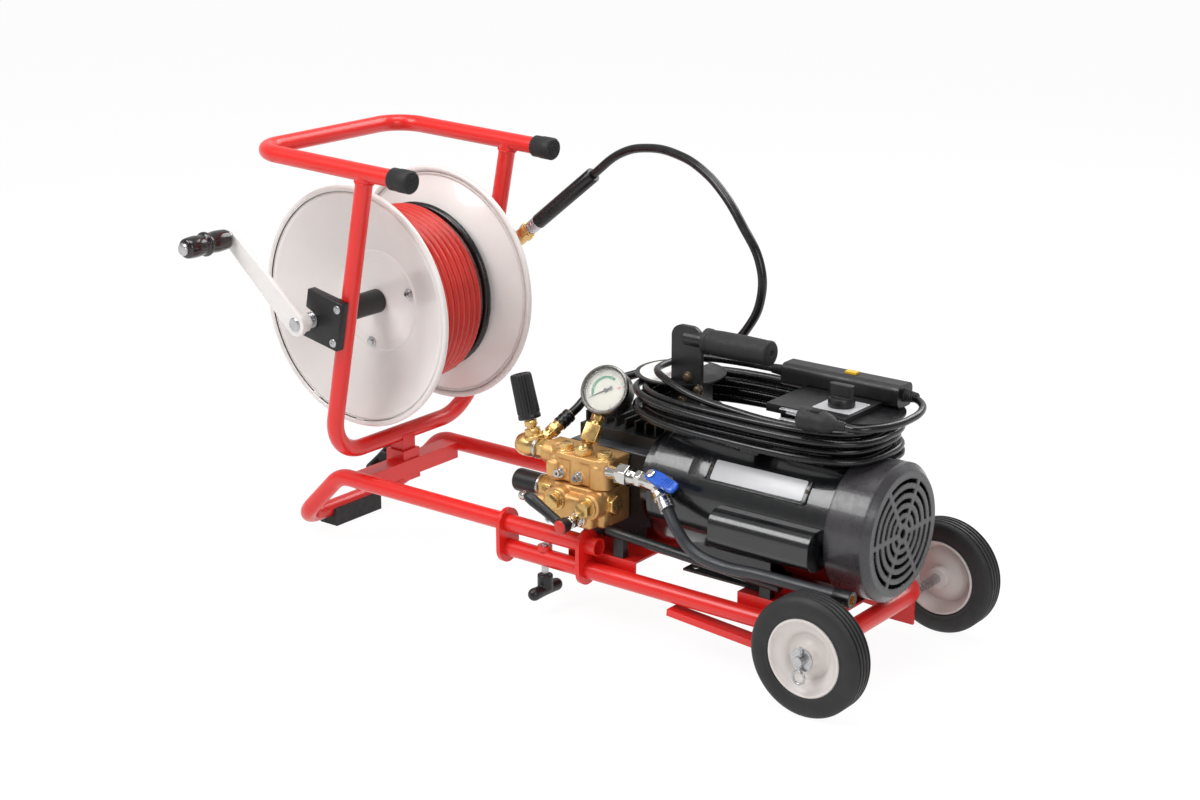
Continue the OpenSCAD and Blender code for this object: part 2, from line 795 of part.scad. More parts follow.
module socket_screw() {
  difference() {
    cylinder(r = screw_r, h = screw_h, $fn = small_fn);
    translate([0, 0, screw_h - socket_deep]) cylinder(r = socket_r, h = socket_deep + cut, $fn = 6);
  }
}

module head_screws() {
  color("#c2c4c6") place() {
    for (s = [screw_shares[1], screw_shares[2]])
      along([head_x0 + s * head_len, head_front - fix_gap, shaft_z + upper_screw_z], [0, -1, 0]) socket_screw();
    for (s = [screw_shares[1], screw_shares[2]])
      along([head_x0 + s * head_len, head_front - head_step - fix_gap, shaft_z + lower_screw_z], [0, -1, 0])
        socket_screw();
  }
}

// Unloader valve: neck from the head's side, upright body, and a branch towards the delivery hose
unloader_off = 19;
unloader_x = head_x0 - unloader_off;
neck_over = 20;
unloader_z = 26;
neck_r = 11;
unloader_body_r = 10;
unloader_up = 38;
unloader_dir = [-0.26, 0, 0.966];
spindle_r = 5;
spindle_len = 16;
branch_dir = [0.23, 0.83, 0.51];
branch_len = 44;
branch_r = 9;
branch_hex_r = 11.25;
unloader_y = -case_near - head_d / 2;
unloader_at = [unloader_x, unloader_y, shaft_z + unloader_z];
unloader_top = unloader_at + unit(unloader_dir) * unloader_up;
branch_end = unloader_at + unit(branch_dir) * branch_len;

module unloader_body() {
  color("#c39a4b") place() {
    rod([unloader_x - neck_over, unloader_y, shaft_z + unloader_z], [1, 0, 0], neck_r,
        head_x0 - unloader_x + neck_over - fix_gap);
    translate([unloader_x - neck_over, unloader_y, shaft_z + unloader_z]) sphere(r = neck_r, $fn = round_fn);
    rod(unloader_at, unloader_dir, unloader_body_r, unloader_up);
    rod(unloader_top, unloader_dir, spindle_r, spindle_len);
    rod(unloader_at, branch_dir, branch_r, branch_len);
    along(unloader_at + unit(branch_dir) * branch_len / 2, branch_dir)
      cylinder(r = branch_hex_r, h = branch_len / 4, $fn = 6);
  }
}

flute_n = 16;
flute_r = 1.6;

// Fluted adjusting knob, turning on the unloader's spindle
module unloader_knob() {
  color("#1a1a1c") place() along(unloader_top + unit(unloader_dir) * seat_gap, unloader_dir) difference() {
    cylinder(r = unloader_r, h = unloader_len, $fn = round_fn);
    for (i = [0:flute_n - 1])
      rotate([0, 0, 360 * i / flute_n]) translate([unloader_r, 0, unloader_len / 6])
        cylinder(r = flute_r, h = unloader_len, $fn = small_fn);
    translate([0, 0, -cut]) cylinder(r = spindle_r + run_gap, h = spindle_len + cut, $fn = round_fn);
  }
}

// Gauge, tilted up, on a stem that runs in its dial's plane
gauge_face = [0.156, -cos(gauge_tilt), sin(gauge_tilt)];
gauge_down = [-0.032, -0.548, -0.835];
gauge_stem_len = 87.4;
gauge_stem_r = 6;
stem_hex_r = 11;
stem_hex_h = 22;
bezel_w = 3;
dial_deep = 6;
stem_seat = 6;
stem_foot_r = 13.2;
gauge_foot = [head_x0 + cap_shares[1] * head_len, head_front + head_d * (1 - gauge_y_share), shaft_z + head_top];
gauge_at = gauge_foot - unit(gauge_down) * gauge_stem_len;
needle_hub_r = 3;
needle_len_share = 0.72;
needle_w = 1.6;
needle_t = 1;
dial_pin_r = 1.2;
needle_rest = 120;

module gauge_case() {
  color("#c8cacb") place() along(gauge_at, gauge_face) {
    difference() {
      translate([0, 0, -gauge_d / 2]) cylinder(r = gauge_r, h = gauge_d, $fn = round_fn);
      translate([0, 0, gauge_d / 2 - dial_deep])
        cylinder(r = gauge_r - bezel_w, h = 2 * dial_deep, $fn = round_fn);
    }
    translate([0, 0, gauge_d / 2 - dial_deep]) cylinder(r = dial_pin_r, h = dial_deep / 2, $fn = small_fn);
  }
}

module gauge_lens() {
  color([0.9, 0.95, 1, 0.35]) place() along(gauge_at, gauge_face)
    translate([0, 0, gauge_d / 2 - dial_deep / 3])
      cylinder(r = gauge_r - bezel_w - fix_gap, h = dial_deep / 3, $fn = round_fn);
}

module gauge_needle() {
  color("#111111") place() along(gauge_at, gauge_face) translate([0, 0, gauge_d / 2 - dial_deep + seat_gap])
    difference() {
      union() {
        cylinder(r = needle_hub_r, h = needle_t, $fn = small_fn);
        rotate([0, 0, needle_rest]) translate([-needle_hub_r * 2, -needle_w / 2, 0])
          cube([gauge_r * needle_len_share, needle_w, needle_t]);
      }
      translate([0, 0, -cut]) cylinder(r = dial_pin_r + run_gap, h = 3 * cut, $fn = small_fn);
    }
}

module gauge_stem() {
  start = gauge_at + unit(gauge_down) * (gauge_r + fix_gap);
  length = gauge_stem_len - gauge_r - fix_gap - stem_seat;
  rod(start, gauge_down, gauge_stem_r, length);
  along(start + unit(gauge_down) * (length - stem_hex_h - stem_hex_r), gauge_down)
    cylinder(r = stem_hex_r, h = stem_hex_h, $fn = 6);
  translate([gauge_foot[0], gauge_foot[1], gauge_foot[2] + fix_gap]) cylinder(r = stem_foot_r, h = hex_h, $fn = 6);
}

// Inlet ball valve on the head's right face, with an elbow down to the inlet hose
valve_off = 76;
valve_up = 24.5;
valve_r = 13;
valve_body_r = 10.5;
valve_body_back = 14;
valve_clear = 0.4;
bonnet_r = 7;
valve_pipe_r = 10;
valve_hex_r = 13;
valve_hex_h = 16;
valve_stem_r = 4;
valve_stem_len = 24;
valve_out_len = 30;
valve_stem_dir = [0, -0.6, 0.8];
valve_out_dir = [0.7, -0.35, -0.62];
valve_out = motor_r + valve_body_r + valve_clear;
valve_at = [head_right + valve_off, -sqrt(valve_out * valve_out - valve_up * valve_up), shaft_z + valve_up];
ferrule_len = 18;
ferrule_r = 10;
inlet_start = valve_at + unit(valve_out_dir) * (valve_out_len + 2 * fix_gap);

module inlet_valve() {
  color("#c7c3b6") place() {
    rod([head_right + fix_gap, valve_at[1], valve_at[2]], [1, 0, 0], valve_pipe_r, valve_off);
    along([head_right + valve_off / 4, valve_at[1], valve_at[2]], [1, 0, 0])
      cylinder(r = valve_hex_r, h = valve_hex_h, $fn = 6);
    rod(valve_at - [valve_body_back, 0, 0], [1, 0, 0], valve_body_r, valve_body_back + valve_body_r);
    rod(valve_at, valve_stem_dir, bonnet_r, valve_r);
    rod(valve_at, valve_stem_dir, valve_stem_r, valve_stem_len);
    rod(valve_at, valve_out_dir, valve_pipe_r - fix_gap, valve_out_len);
  }
}

lever_hub_r = 8;
lever_t = 5;
lever_l = 40;
lever_w = 13;
lever_spin = 76;

module inlet_lever() {
  color("#2456a6") place()
    along(valve_at + unit(valve_stem_dir) * (valve_r + seat_gap), valve_stem_dir, lever_spin) difference() {
      union() {
        cylinder(r = lever_hub_r, h = lever_t, $fn = round_fn);
        translate([0, -lever_w / 2, 0]) cube([lever_l - lever_w / 2, lever_w, lever_t]);
        translate([lever_l - lever_w / 2, 0, 0]) cylinder(r = lever_w / 2, h = lever_t, $fn = round_fn);
      }
      translate([0, 0, -cut]) cylinder(r = valve_stem_r + run_gap, h = lever_t + 2 * cut, $fn = round_fn);
    }
}

// Inlet hose: from the valve's elbow, along the near side to its own end over the wheel
inlet_end_x = 5;
inlet_shares = [0.105, 0.204, 0.34, 0.577, 0.8, 1];
inlet_sideways = [[-112, 166], [-115, 145], [-115, 136], [-112, 136], [-112, 136], [-112, 136]];
inlet_route = [
  for (i = [0:len(inlet_shares) - 1])
    [inlet_start[0] + inlet_shares[i] * (inlet_end_x - inlet_start[0]), inlet_sideways[i][0], inlet_sideways[i][1]]
];
inlet_end = inlet_route[len(inlet_route) - 1];
inlet_sides = 10;
inlet_steps = 4;
inlet_line = concat([inlet_start + unit(valve_out_dir) * (ferrule_len - inlet_d / 2)],
                    spline(concat([inlet_start + unit(valve_out_dir) * ferrule_len], inlet_route), inlet_steps));
collar_r = 10;
collar_len = 20;
collar_bore = 6;

module inlet_hose() {
  color("#3a3c40") place() swept(inlet_line, [for (q = inlet_line) inlet_d / 2], inlet_sides, [0, 1, 0]);
}

// Pulse valve in the head's lower front, its lever, and a quick nipple beside it
pulse_share = 0.77;
pulse_x = head_x0 + pulse_share * head_len;
pulse_drop = 38.5;
pulse_r = 7;
pulse_len = 27;
pulse_pin_r = 4;
pulse_pin_len = 14;
pulse_z = shaft_z - pulse_drop;
pulse_y = head_front - head_step - fix_gap;
nipple_r = 7;
nipple_len = 30;
nipple_step = 4;
nipple_y = head_front - nipple_r - seat_gap;
nipple_drop = 32;
nipple_z = shaft_z - nipple_drop;

module pulse_valve() {
  color("#cdced0") place() {
    rod([pulse_x, pulse_y, pulse_z], [0, -1, 0], pulse_r, pulse_len);
    rod([pulse_x, pulse_y - pulse_len, pulse_z], [0, -1, 0], pulse_pin_r, pulse_pin_len);
    rod([head_x0 + column_r - fix_gap, nipple_y, nipple_z], [-1, 0, 0], nipple_r, nipple_len);
    rod([head_x0 + column_r - fix_gap - nipple_len, nipple_y, nipple_z], [-1, 0, 0], nipple_r - nipple_step / 2,
        nipple_step);
  }
}

pulse_hub_r = 10;
pulse_arm_r = 6;
pulse_arm_len = 62;
pulse_tip_r = 8;
pulse_tip_len = 7;
pulse_end_r = 5;
pulse_arm_dir = [-0.9, 0, 0.436];

module pulse_lever() {
  color("#1c1c1f") place() difference() {
    union() {
      rod([pulse_x, pulse_y - pulse_len - seat_gap, pulse_z], [0, -1, 0], pulse_hub_r, pulse_pin_len + fix_gap);
      along([pulse_x, pulse_y - pulse_len - pulse_pin_len / 2, pulse_z], pulse_arm_dir) {
        cylinder(r1 = pulse_arm_r, r2 = pulse_tip_r, h = pulse_arm_len, $fn = round_fn);
        translate([0, 0, pulse_arm_len])
          cylinder(r1 = pulse_tip_r, r2 = pulse_end_r, h = pulse_tip_len, $fn = round_fn);
      }
    }
    rod([pulse_x, pulse_y - pulse_len + cut, pulse_z], [0, -1, 0], pulse_pin_r + run_gap,
        pulse_pin_len + cut + run_gap);
  }
}

// Guard bar along the near side, on two feet
bar_r = 6.8;
bar_y = -98;
bar_front = 27;
bar_foot_front = 13;
bar_ends_z = [134, 120];
bar_back_x = -85;
bar_foot_back_x = -110;
bar_a = [bell_front - bar_front, bar_y, bar_ends_z[0]];
bar_b = [bar_back_x, bar_y, bar_ends_z[1]];
bar_foot_x = [bell_front - bar_foot_front, bar_foot_back_x];
bar_foot_w = 16;
bar_foot_y = [-95, -84];

module guard_bar() {
  color("#1b1b1e") place() {
    rod(bar_a, bar_b - bar_a, bar_r, norm(bar_b - bar_a));
    for (x = bar_foot_x) {
      share = (x - bar_a[0]) / (bar_b[0] - bar_a[0]);
      box([x - bar_foot_w / 2, bar_foot_y[0], plate_z + fix_gap],
          [x + bar_foot_w / 2, bar_foot_y[1], bar_a[2] + share * (bar_b[2] - bar_a[2])]);
    }
  }
}

// Pieces on top of the motor are placed along it from the front end of its shell
function from_shell(v) = [for (q = v) shell_front + q];
function on_shell(v) = [shell_front + v[0], v[1]];

// Carry handle: a plate with a rounded top that holds a short tube, and a grip on the tube
tray_low = shaft_z + motor_r + fix_gap;
tray_t = 3.5;
tray_top = tray_low + tray_t;
hb_from = [-27, 20];
hb_x = from_shell(hb_from);
hb_t = 6;
hb_round = 16;
grip_up = 194.5;
grip_z = shaft_z + grip_up;
grip_tube_r = 10;
grip_r = 17;
grip_from = [25, 125];
grip_x = from_shell(grip_from);
grip_tube_from = -5;
grip_tube_start = shell_front + grip_tube_from;

module handle_bracket() {
  color("#1d1d20") place() {
    box([hb_x[0], -hb_t / 2, tray_top + fix_gap], [hb_x[1], hb_t / 2, grip_z]);
    for (x = [hb_x[0] + hb_round, hb_x[1] - hb_round])
      rod([x, -hb_t / 2, grip_z], [0, 1, 0], hb_round, hb_t);
    box([hb_x[0] + hb_round, -hb_t / 2, grip_z], [hb_x[1] - hb_round, hb_t / 2, grip_z + hb_round]);
    box([hb_x[0], -hb_round, tray_top + fix_gap], [hb_x[1], hb_round, tray_top + hb_t]);
    rod([grip_tube_start, 0, grip_z], [1, 0, 0], grip_tube_r, grip_x[1] - grip_tube_start - hb_t);
  }
}

module carry_grip() {
  color("#2a2a2d") place() difference() {
    rod([grip_x[0], 0, grip_z], [1, 0, 0], grip_r, grip_x[1] - grip_x[0]);
    rod([grip_x[0] - cut, 0, grip_z], [1, 0, 0], grip_tube_r + fix_gap,
        grip_x[1] - grip_x[0] - hb_t + cut + fix_gap);
  }
}

// Cord tray on the motor: plate, end fins below and above the cord, the switch box and the cord's gland
cord_mid_from = [111.5, 13];
cord_mid = on_shell(cord_mid_from);
fin_left_from = [-35, 30];
fin_left = on_shell(fin_left_from);
fin_right_from = [235, 30];
fin_right = on_shell(fin_right_from);
fin_round = 60;
fin_plate_t = 2.5;
tray_y = 32;
cord_z0 = max(tray_top, shaft_z + cover_r) + cord_d / 2 + seat_gap;
layer_n = 4;
layer_loops = 2;
fin_z = cord_z0 + (layer_n - 1) * cord_step + cord_d / 2 + 2 * seat_gap;
web_from = [45, 215];
web_x = from_shell(web_from);
web_w = 10;
web_h = 30;
sbox_from = [[160, -30], [235, 45]];
sbox_low = on_shell(sbox_from[0]);
sbox_high = on_shell(sbox_from[1]);
lid_from = [[143, -37], [257, 51]];
lid_low = on_shell(lid_from[0]);
lid_high = on_shell(lid_from[1]);
lid_t = 8;
lid_z = fin_z + fin_plate_t;
knob_from = [225, 7];
knob_at = on_shell(knob_from);
spindle_h = 14;
gland_l = 26;
gland_w = 10;
post_from = [[-25, 22], [5, 46]];
post_low = on_shell(post_from[0]);
post_high = on_shell(post_from[1]);
inner_inset = layer_loops * cord_step;
gland_y = cord_mid[1] - (cord_b - inner_inset);
cord_lead = 12;

module cord_bracket() {
  color("#1e1f22") place() difference() {
    union() {
      box([fin_left[0], -tray_y, tray_low], [fin_right[0], tray_y, tray_top]);
      for (f = [fin_left, fin_right])
        for (z = [tray_low, fin_z])
          translate([f[0], f[1], z])
            cylinder(r = fin_round, h = z == fin_z ? fin_plate_t : tray_t, $fn = round_fn);
      box([post_low[0], post_low[1], tray_low], [post_high[0], post_high[1], fin_z + fin_plate_t]);
      box([sbox_low[0], sbox_low[1], tray_low], [sbox_high[0], sbox_high[1], lid_z]);
      box([lid_low[0], lid_low[1], lid_z - fin_plate_t], [lid_high[0], lid_high[1], lid_z + lid_t]);
      translate([knob_at[0], knob_at[1], lid_z]) cylinder(r = spindle_r, h = lid_t + spindle_h, $fn = round_fn);
      for (x = web_x)
        box([x, -tray_y, tray_low - web_h], [x + web_w, tray_y, tray_low]);
      box([cord_mid[0] + cord_lead, gland_y - gland_w / 2, tray_low],
          [cord_mid[0] + cord_lead + gland_l, -tray_y, cord_z0 + gland_w / 2]);
    }
    on_shaft(shell_front) cylinder(r = motor_r + fix_gap, h = motor_len + cut, $fn = round_fn);
    on_shaft(-motor_back - 2 * spigot)
      cylinder(r = cover_r + seat_gap, h = cover_len + 2 * spigot, $fn = round_fn);
    box([hb_x[0] - seat_gap, -hb_t / 2 - seat_gap, tray_top],
        [hb_x[1] + seat_gap, hb_t / 2 + seat_gap, lid_z + cut]);
  }
}

knob_r = 17;
knob_h = 12;
bar_w = 10;
bar_h = 16;

module switch_knob() {
  color("#151517") place() translate([knob_at[0], knob_at[1], lid_z + lid_t + seat_gap]) difference() {
    union() {
      cylinder(r = knob_r, h = knob_h, $fn = round_fn);
      translate([-knob_r + fix_gap, -bar_w / 2, 0])
        cube([2 * (knob_r - fix_gap) - cut / 2, bar_w, knob_h + bar_h]);
    }
    translate([0, 0, -cut]) cylinder(r = spindle_r + run_gap, h = spindle_h + cut + run_gap, $fn = round_fn);
  }
}

// Ground-fault unit in the cord, on top of the far side of the coil
gfci_from = [105, 277];
gfci_x = from_shell(gfci_from);
gfci_y = 72;
gfci_half = 18;
gfci_h = 30;
gfci_round = 9;
gfci_z0 = fin_z + fin_plate_t + 2 * seat_gap;
gfci_z = gfci_z0 + gfci_h / 2;
button_from = 200;
button_x = shell_front + button_from;
button_l = 16;
button_w = 10;
button_h = 6;
button_out = 2.5;
pocket_deep = 7;

module gfci_body() {
  color("#232427") place() difference() {
    union() {
      box([gfci_x[0], gfci_y - gfci_half, gfci_z0 + gfci_round],
          [gfci_x[1], gfci_y + gfci_half, gfci_z0 + gfci_h - gfci_round]);
      box([gfci_x[0], gfci_y - gfci_half + gfci_round, gfci_z0],
          [gfci_x[1], gfci_y + gfci_half - gfci_round, gfci_z0 + gfci_h]);
      for (y = [-gfci_half + gfci_round, gfci_half - gfci_round])
        for (z = [gfci_round, gfci_h - gfci_round])
          rod([gfci_x[0], gfci_y + y, gfci_z0 + z], [1, 0, 0], gfci_round, gfci_x[1] - gfci_x[0]);
    }
    box([button_x - button_l / 2 - seat_gap, gfci_y - button_w / 2 - seat_gap, gfci_z0 + gfci_h - pocket_deep],
        [button_x + button_l / 2 + seat_gap, gfci_y + button_w / 2 + seat_gap, gfci_z0 + gfci_h + cut]);
  }
}

module gfci_button() {
  color("#e0b423") place()
    box([button_x - button_l / 2, gfci_y - button_w / 2, gfci_z0 + gfci_h + button_out - button_h],
        [button_x + button_l / 2, gfci_y + button_w / 2, gfci_z0 + gfci_h + button_out]);
}

// Power cord: eight flat loops in four layers from the gland, then up to the ground-fault unit
cord_loops = layer_n * layer_loops;
rings_per_loop = 24;
round_power = 0.667;
half_climb = 0.25;
last_half = 0.5;
last_climb = 0.2;
end_inset = cord_mid[1] + cord_b - gfci_y;
function squared(v) = sign(v) * pow(abs(v), round_power);
function cord_inset(t) =
  let (k = floor(t / layer_loops), u = t - k * layer_loops)
  t >= cord_loops ? inner_inset + (end_inset - inner_inset) * smooth_step((t - cord_loops) / last_half)
  : k % 2 == 0 ? cord_step * (layer_loops - u) : cord_step * u;
function climbs(t, k = 1) =
  k >= layer_n ? 0 : smooth_step((t - k * layer_loops + half_climb) / (2 * half_climb)) + climbs(t, k + 1);
function cord_height(t) =
  cord_z0 + cord_step * climbs(t)
  + (gfci_z - cord_z0 - (layer_n - 1) * cord_step) * smooth_step((t - cord_loops + last_climb / 4) / last_climb);
function cord_point(t) =
  let (a = 270 - 360 * t, s = cord_inset(t))
  [cord_mid[0] + (cord_a - s) * squared(cos(a)), cord_mid[1] + (cord_b - s) * squared(sin(a)), cord_height(t)];
last_rings = 10;
coil_points = [for (i = [0:rings_per_loop * cord_loops + last_rings]) cord_point(i / rings_per_loop)];
cord_line = concat([[cord_mid[0] + cord_lead - fix_gap, gland_y, cord_z0]], coil_points,
                   [[gfci_x[0] - 2 * cord_d, gfci_y, gfci_z], [gfci_x[0] - fix_gap, gfci_y, gfci_z]]);
coil_sides = 6;
echo("cord gap", least_gap(coil_points, 12, cord_d));

module power_cord() {
  color("#1f2023") place() swept(cord_line, [for (q = cord_line) cord_d / 2], coil_sides, [0, 0, 1]);
}

// Cord tail: from the ground-fault unit round the right end to the plug
plug_y = -74;
plug_up = 12;
plug_z = lid_z + plug_up;
plug_from = [217, 281];
plug_x = from_shell(plug_from);
tail_from = [
  [290, 71, 338], [307, 60, 337], [321, 35, 336], [325, 0, 335], [321, -35, 335], [309, -60, 335], [295, -73, 335]
];
tail_route = [for (q = tail_from) [shell_front + q[0], q[1], q[2]]];
tail_points = concat([[gfci_x[1] + fix_gap, gfci_y, gfci_z]], tail_route, [[plug_x[1] + fix_gap, plug_y, plug_z]]);
tail_line = spline(tail_points, 3);
tail_sides = 8;

module cord_tail() {
  color("#1f2023") place() swept(tail_line, [for (q = tail_line) cord_d / 2], tail_sides, [0, 0, 1]);
}

plug_r = 14;
relief_r = 8;
relief_len = 16;
blade_from = 188;
blade_x = shell_front + blade_from;
blade_w = 6.3;
blade_thick = 1.5;
blade_apart = 12.7;

module plug() {
  color("#1b1b1d") place() {
    rod([plug_x[0], plug_y, plug_z], [1, 0, 0], plug_r, plug_x[1] - plug_x[0] - relief_len);
    rod([plug_x[1] - relief_len, plug_y, plug_z], [1, 0, 0], relief_r, relief_len);
    for (side = [-1, 1])
      box([blade_x, plug_y - blade_w / 2, plug_z + side * blade_apart / 2 - blade_thick / 2],
          [plug_x[0] + cut, plug_y + blade_w / 2, plug_z + side * blade_apart / 2 + blade_thick / 2]);
  }
}

// Delivery hose: from the reel's swivel, over the top and down behind the pump to the unloader
swivel_dir = [0.777, 0, 0.629];
swivel_y = swivel_y0 + swivel_len / 2;
swivel_at = [-reel_x, swivel_y, reel_z];
nipple_end = 92;
coupler_len = 30;
crimp_len = 18;
sleeve_len = 130;
hose_from = nipple_end + coupler_len + crimp_len + 3 * fix_gap;
hose_route = [
  [-545, 182, 565], [-495, 177, 579], [-435, 166, 578], [-385, 154, 564], [-345, 144, 540], [-310, 136, 505],
  [-275, 130, 455], [-272, 128, 410], [-290, 128, 370], [-325, 130, 335], [-370, 130, 312], [-412, 118, 298],
  [-440, 85, 288], [-460, 50, 280], [-474, 14, 265]
];
branch_crimp = 22;
hose_end = branch_end + unit(branch_dir) * (branch_crimp + 2 * fix_gap);
hose_start = swivel_at + unit(swivel_dir) * hose_from;
sleeve_end = hose_start + unit(swivel_dir) * sleeve_len;
hose_turn = hose_end + unit(branch_dir) * hose_d;
hose_knots = concat([sleeve_end + unit(swivel_dir) * hose_d / 4], hose_route, [hose_turn]);
hose_curve = concat(spline(hose_knots, 3), [hose_end]);
hose_line = concat([hose_start, sleeve_end], hose_curve);
hose_radii = concat([sleeve_d / 2, sleeve_d / 2], [for (q = hose_curve) hose_d / 2]);
hose_sides = 10;

module delivery_hose() {
  color("#1d1e20") place() swept(hose_line, hose_radii, hose_sides, [0, 1, 0]);
}

coupler_r = 11;
coupler_hex_r = 13.2;
crimp_r = 9.5;

// Couplers and crimped ends of the hoses
module hose_fittings() {
  color("#c6a55c") place() {
    coupler_start = swivel_at + unit(swivel_dir) * (nipple_end + seat_gap);
    rod(coupler_start, swivel_dir, coupler_r, coupler_len - seat_gap);
    along(coupler_start + unit(swivel_dir) * coupler_len / 2, swivel_dir)
      cylinder(r = coupler_hex_r, h = coupler_len / 3, $fn = 6);
    rod(coupler_start + unit(swivel_dir) * (coupler_len - seat_gap), swivel_dir, crimp_r, crimp_len);
    rod(branch_end + unit(branch_dir) * fix_gap, branch_dir, crimp_r, branch_crimp);
    difference() {
      rod(inlet_start, valve_out_dir, ferrule_r, ferrule_len - inlet_d / 2 - fix_gap);
      rod(inlet_start - unit(valve_out_dir) * cut, valve_out_dir, valve_pipe_r / 2, ferrule_len + cut);
    }
    difference() {
      rod(inlet_end + [fix_gap, 0, 0], [1, 0, 0], collar_r, collar_len);
      rod(inlet_end + [collar_len / 2, 0, 0], [1, 0, 0], collar_bore, collar_len);
    }
  }
}

// Reel cart: rails in the clamp plates, bent down to a foot bar, with a cross-member and a square socket
slope_x = knee_x - foot_x;
slope_z = foot_z - high_z;
upper_path = [
  [knee_x - upper_end, -rail_y, 0], [0, -rail_y, 0], [slope_x, -rail_y, slope_z],
  [slope_x, rail_y, slope_z], [0, rail_y, 0], [knee_x - upper_end, rail_y, 0]
];
knee_at = [-knee_x, 0, high_z];
upper_bends = [knee_r, corner_r, corner_r, knee_r];
member_from = [-7.6, 20.4];
member_x = [for (q = member_from) q - reel_x];
member_z = [92, 116];
socket_half = 17;
post_side = 12.5;
socket_z = [84, 130];
post_knob_z = 104;

module reel_cart_frame() {
  color("#d8261c") place() difference() {
    union() {
      translate(knee_at) tube_run(upper_path, upper_bends, tube_r);
      box([member_x[0], -rail_y + tube_r - tube_wall / 2, member_z[0]],
          [member_x[1], rail_y - tube_r + tube_wall / 2, member_z[1]]);
      box([-reel_x - socket_half, -socket_half, socket_z[0]], [-reel_x + socket_half, socket_half, socket_z[1]]);
    }
    translate(knee_at) tube_run(upper_path, upper_bends, tube_r - tube_wall, cut);
    box([-reel_x - post_side - fix_gap, -post_side - fix_gap, socket_z[0] - cut],
        [-reel_x + post_side + fix_gap, post_side + fix_gap, socket_z[1] + cut]);
    rod([-reel_x, 0, post_knob_z], [-1, 0, 0], stem_r + run_gap, 4 * socket_half);
  }
}

pad_half_y = 48;
pad_x_half = 17;
pad_top = 2;

// Rubber foot round the middle of the foot bar
module foot_pad() {
  color("#1a1a1b") place() difference() {
    box([-foot_x - pad_x_half, -pad_half_y, 0], [-foot_x + pad_x_half, pad_half_y, foot_z + pad_top]);
    rod([-foot_x, -rail_y, foot_z], [0, 1, 0], tube_r + fix_gap, 2 * rail_y);
  }
}

// Reel frame: one bent tube for the uprights, one for the push handle, and the square post
side_y = [0, upright_y, 0];
base_mid = [-reel_x, 0, base_z];
upright_top = [top_x, 0, handle_z] - base_mid;
upright_path = [upright_top - side_y, -side_y, side_y, upright_top + side_y];
function handle_at(x) = [x + reel_x, 0, handle_rise - (x - top_x) * tan(handle_tilt)];
handle_path = [
  handle_at(-handle_open) - side_y, handle_at(-handle_x) - side_y,
  handle_at(-handle_x) + side_y, handle_at(-handle_open) + side_y
];
handle_bend = 45;

module reel_frame() {
  color("#d8261c") place() translate(base_mid) {
    difference() {
      union() {
        tube_run(upright_path, [upright_bend, upright_bend], tube_r);
        tube_run(handle_path, [handle_bend, handle_bend], tube_r);
      }
      tube_run(upright_path, [upright_bend, upright_bend], tube_r - tube_wall);
      tube_run(handle_path, [handle_bend, handle_bend], tube_r - tube_wall, cut);
    }
    difference() {
      box([-post_side, -post_side, socket_z[0] + cut - base_z], [post_side, post_side, 0]);
      rod(-side_y, side_y, tube_r - tube_wall, 2 * upright_y);
    }
  }
}

rubber_r = 16;
rubber_len = 34;
rubber_end = 12;

// Rubber caps on the open ends of the push handle
module tube_caps() {
  color("#1b1b1c") place() translate(base_mid) for (side = [-1, 1]) {
    d = unit(handle_at(0) - handle_at(-handle_open));
    tip = handle_at(-handle_open) + side * side_y;
    difference() {
      rod(tip - d * (rubber_len - rubber_end), d, rubber_r, rubber_len);
      rod(tip - d * rubber_len, d, tube_r + fix_gap, rubber_len + fix_gap);
    }
  }
}

// Bearing blocks outside the uprights, slotted open to the front for the shaft
block_x = [-14.5, 51];
block_z = [-29, 41];

module bearing_blocks() {
  color("#1d1d1f") place() difference() {
    for (side = [-1, 1])
      translate([-reel_x, 0, reel_z]) rotate([0, lean, 0])
        box([block_x[0], side > 0 ? block_y : -block_y - block_t, block_z[0]],
            [block_x[1], side > 0 ? block_y + block_t : -block_y, block_z[1]]);
    rod([-reel_x, -box_span, reel_z], [0, 1, 0], reel_shaft_r + run_gap, 2 * box_span);
    translate([-reel_x, 0, reel_z]) rotate([0, lean, 0])
      box([block_x[0] - cut, -box_span, -reel_shaft_r - block_slot], [0, box_span, reel_shaft_r + block_slot]);
  }
}

box_span = 400;
block_slot = 2;
swivel_r = 15;
swivel_nipple_r = 7;

// Hose swivel on the far end of the shaft, with the nipple that the delivery hose joins
module hose_swivel() {
  color("#b98f45") place() difference() {
    union() {
      rod([-reel_x, swivel_y0, reel_z], [0, 1, 0], swivel_r, swivel_len + swivel_cap);
      rod(swivel_at, swivel_dir, swivel_nipple_r, nipple_end);
      along(swivel_at + unit(swivel_dir) * (nipple_end - coupler_len / 3), swivel_dir)
        cylinder(r = coupler_r, h = coupler_len / 3, $fn = 6);
    }
    rod([-reel_x, swivel_y0 - cut, reel_z], [0, 1, 0], reel_shaft_r + run_gap, swivel_len + cut);
  }
}

// T knobs: a stem and a crossbar
tbar_r = 9;
tbar_half = 32;
tknob_drop = 46;
tcollar_r = 11;
// The clamp screws are drawn backed off from the reel cart's rails, so that these slide
screw_back = 3.2;

module t_knob(stem) {
  cylinder(r = stem_r, h = stem, $fn = round_fn);
  translate([0, 0, -tbar_r]) cylinder(r = tcollar_r, h = 2 * tbar_r, $fn = round_fn);
  rotate([90, 0, 0]) translate([0, 0, -tbar_half]) cylinder(r = tbar_r, h = 2 * tbar_half, $fn = round_fn);
}

module clamp_knob(side) {
  translate([-clamp_knob_x, side * rail_y, low_z - tknob_drop])
    t_knob(tknob_drop + rail_rise - tube_r - screw_back);
}

module clamp_knob_near() {
  color("#1b1b1d") place() clamp_knob(-1);
}

module clamp_knob_far() {
  color("#1b1b1d") place() clamp_knob(1);
}

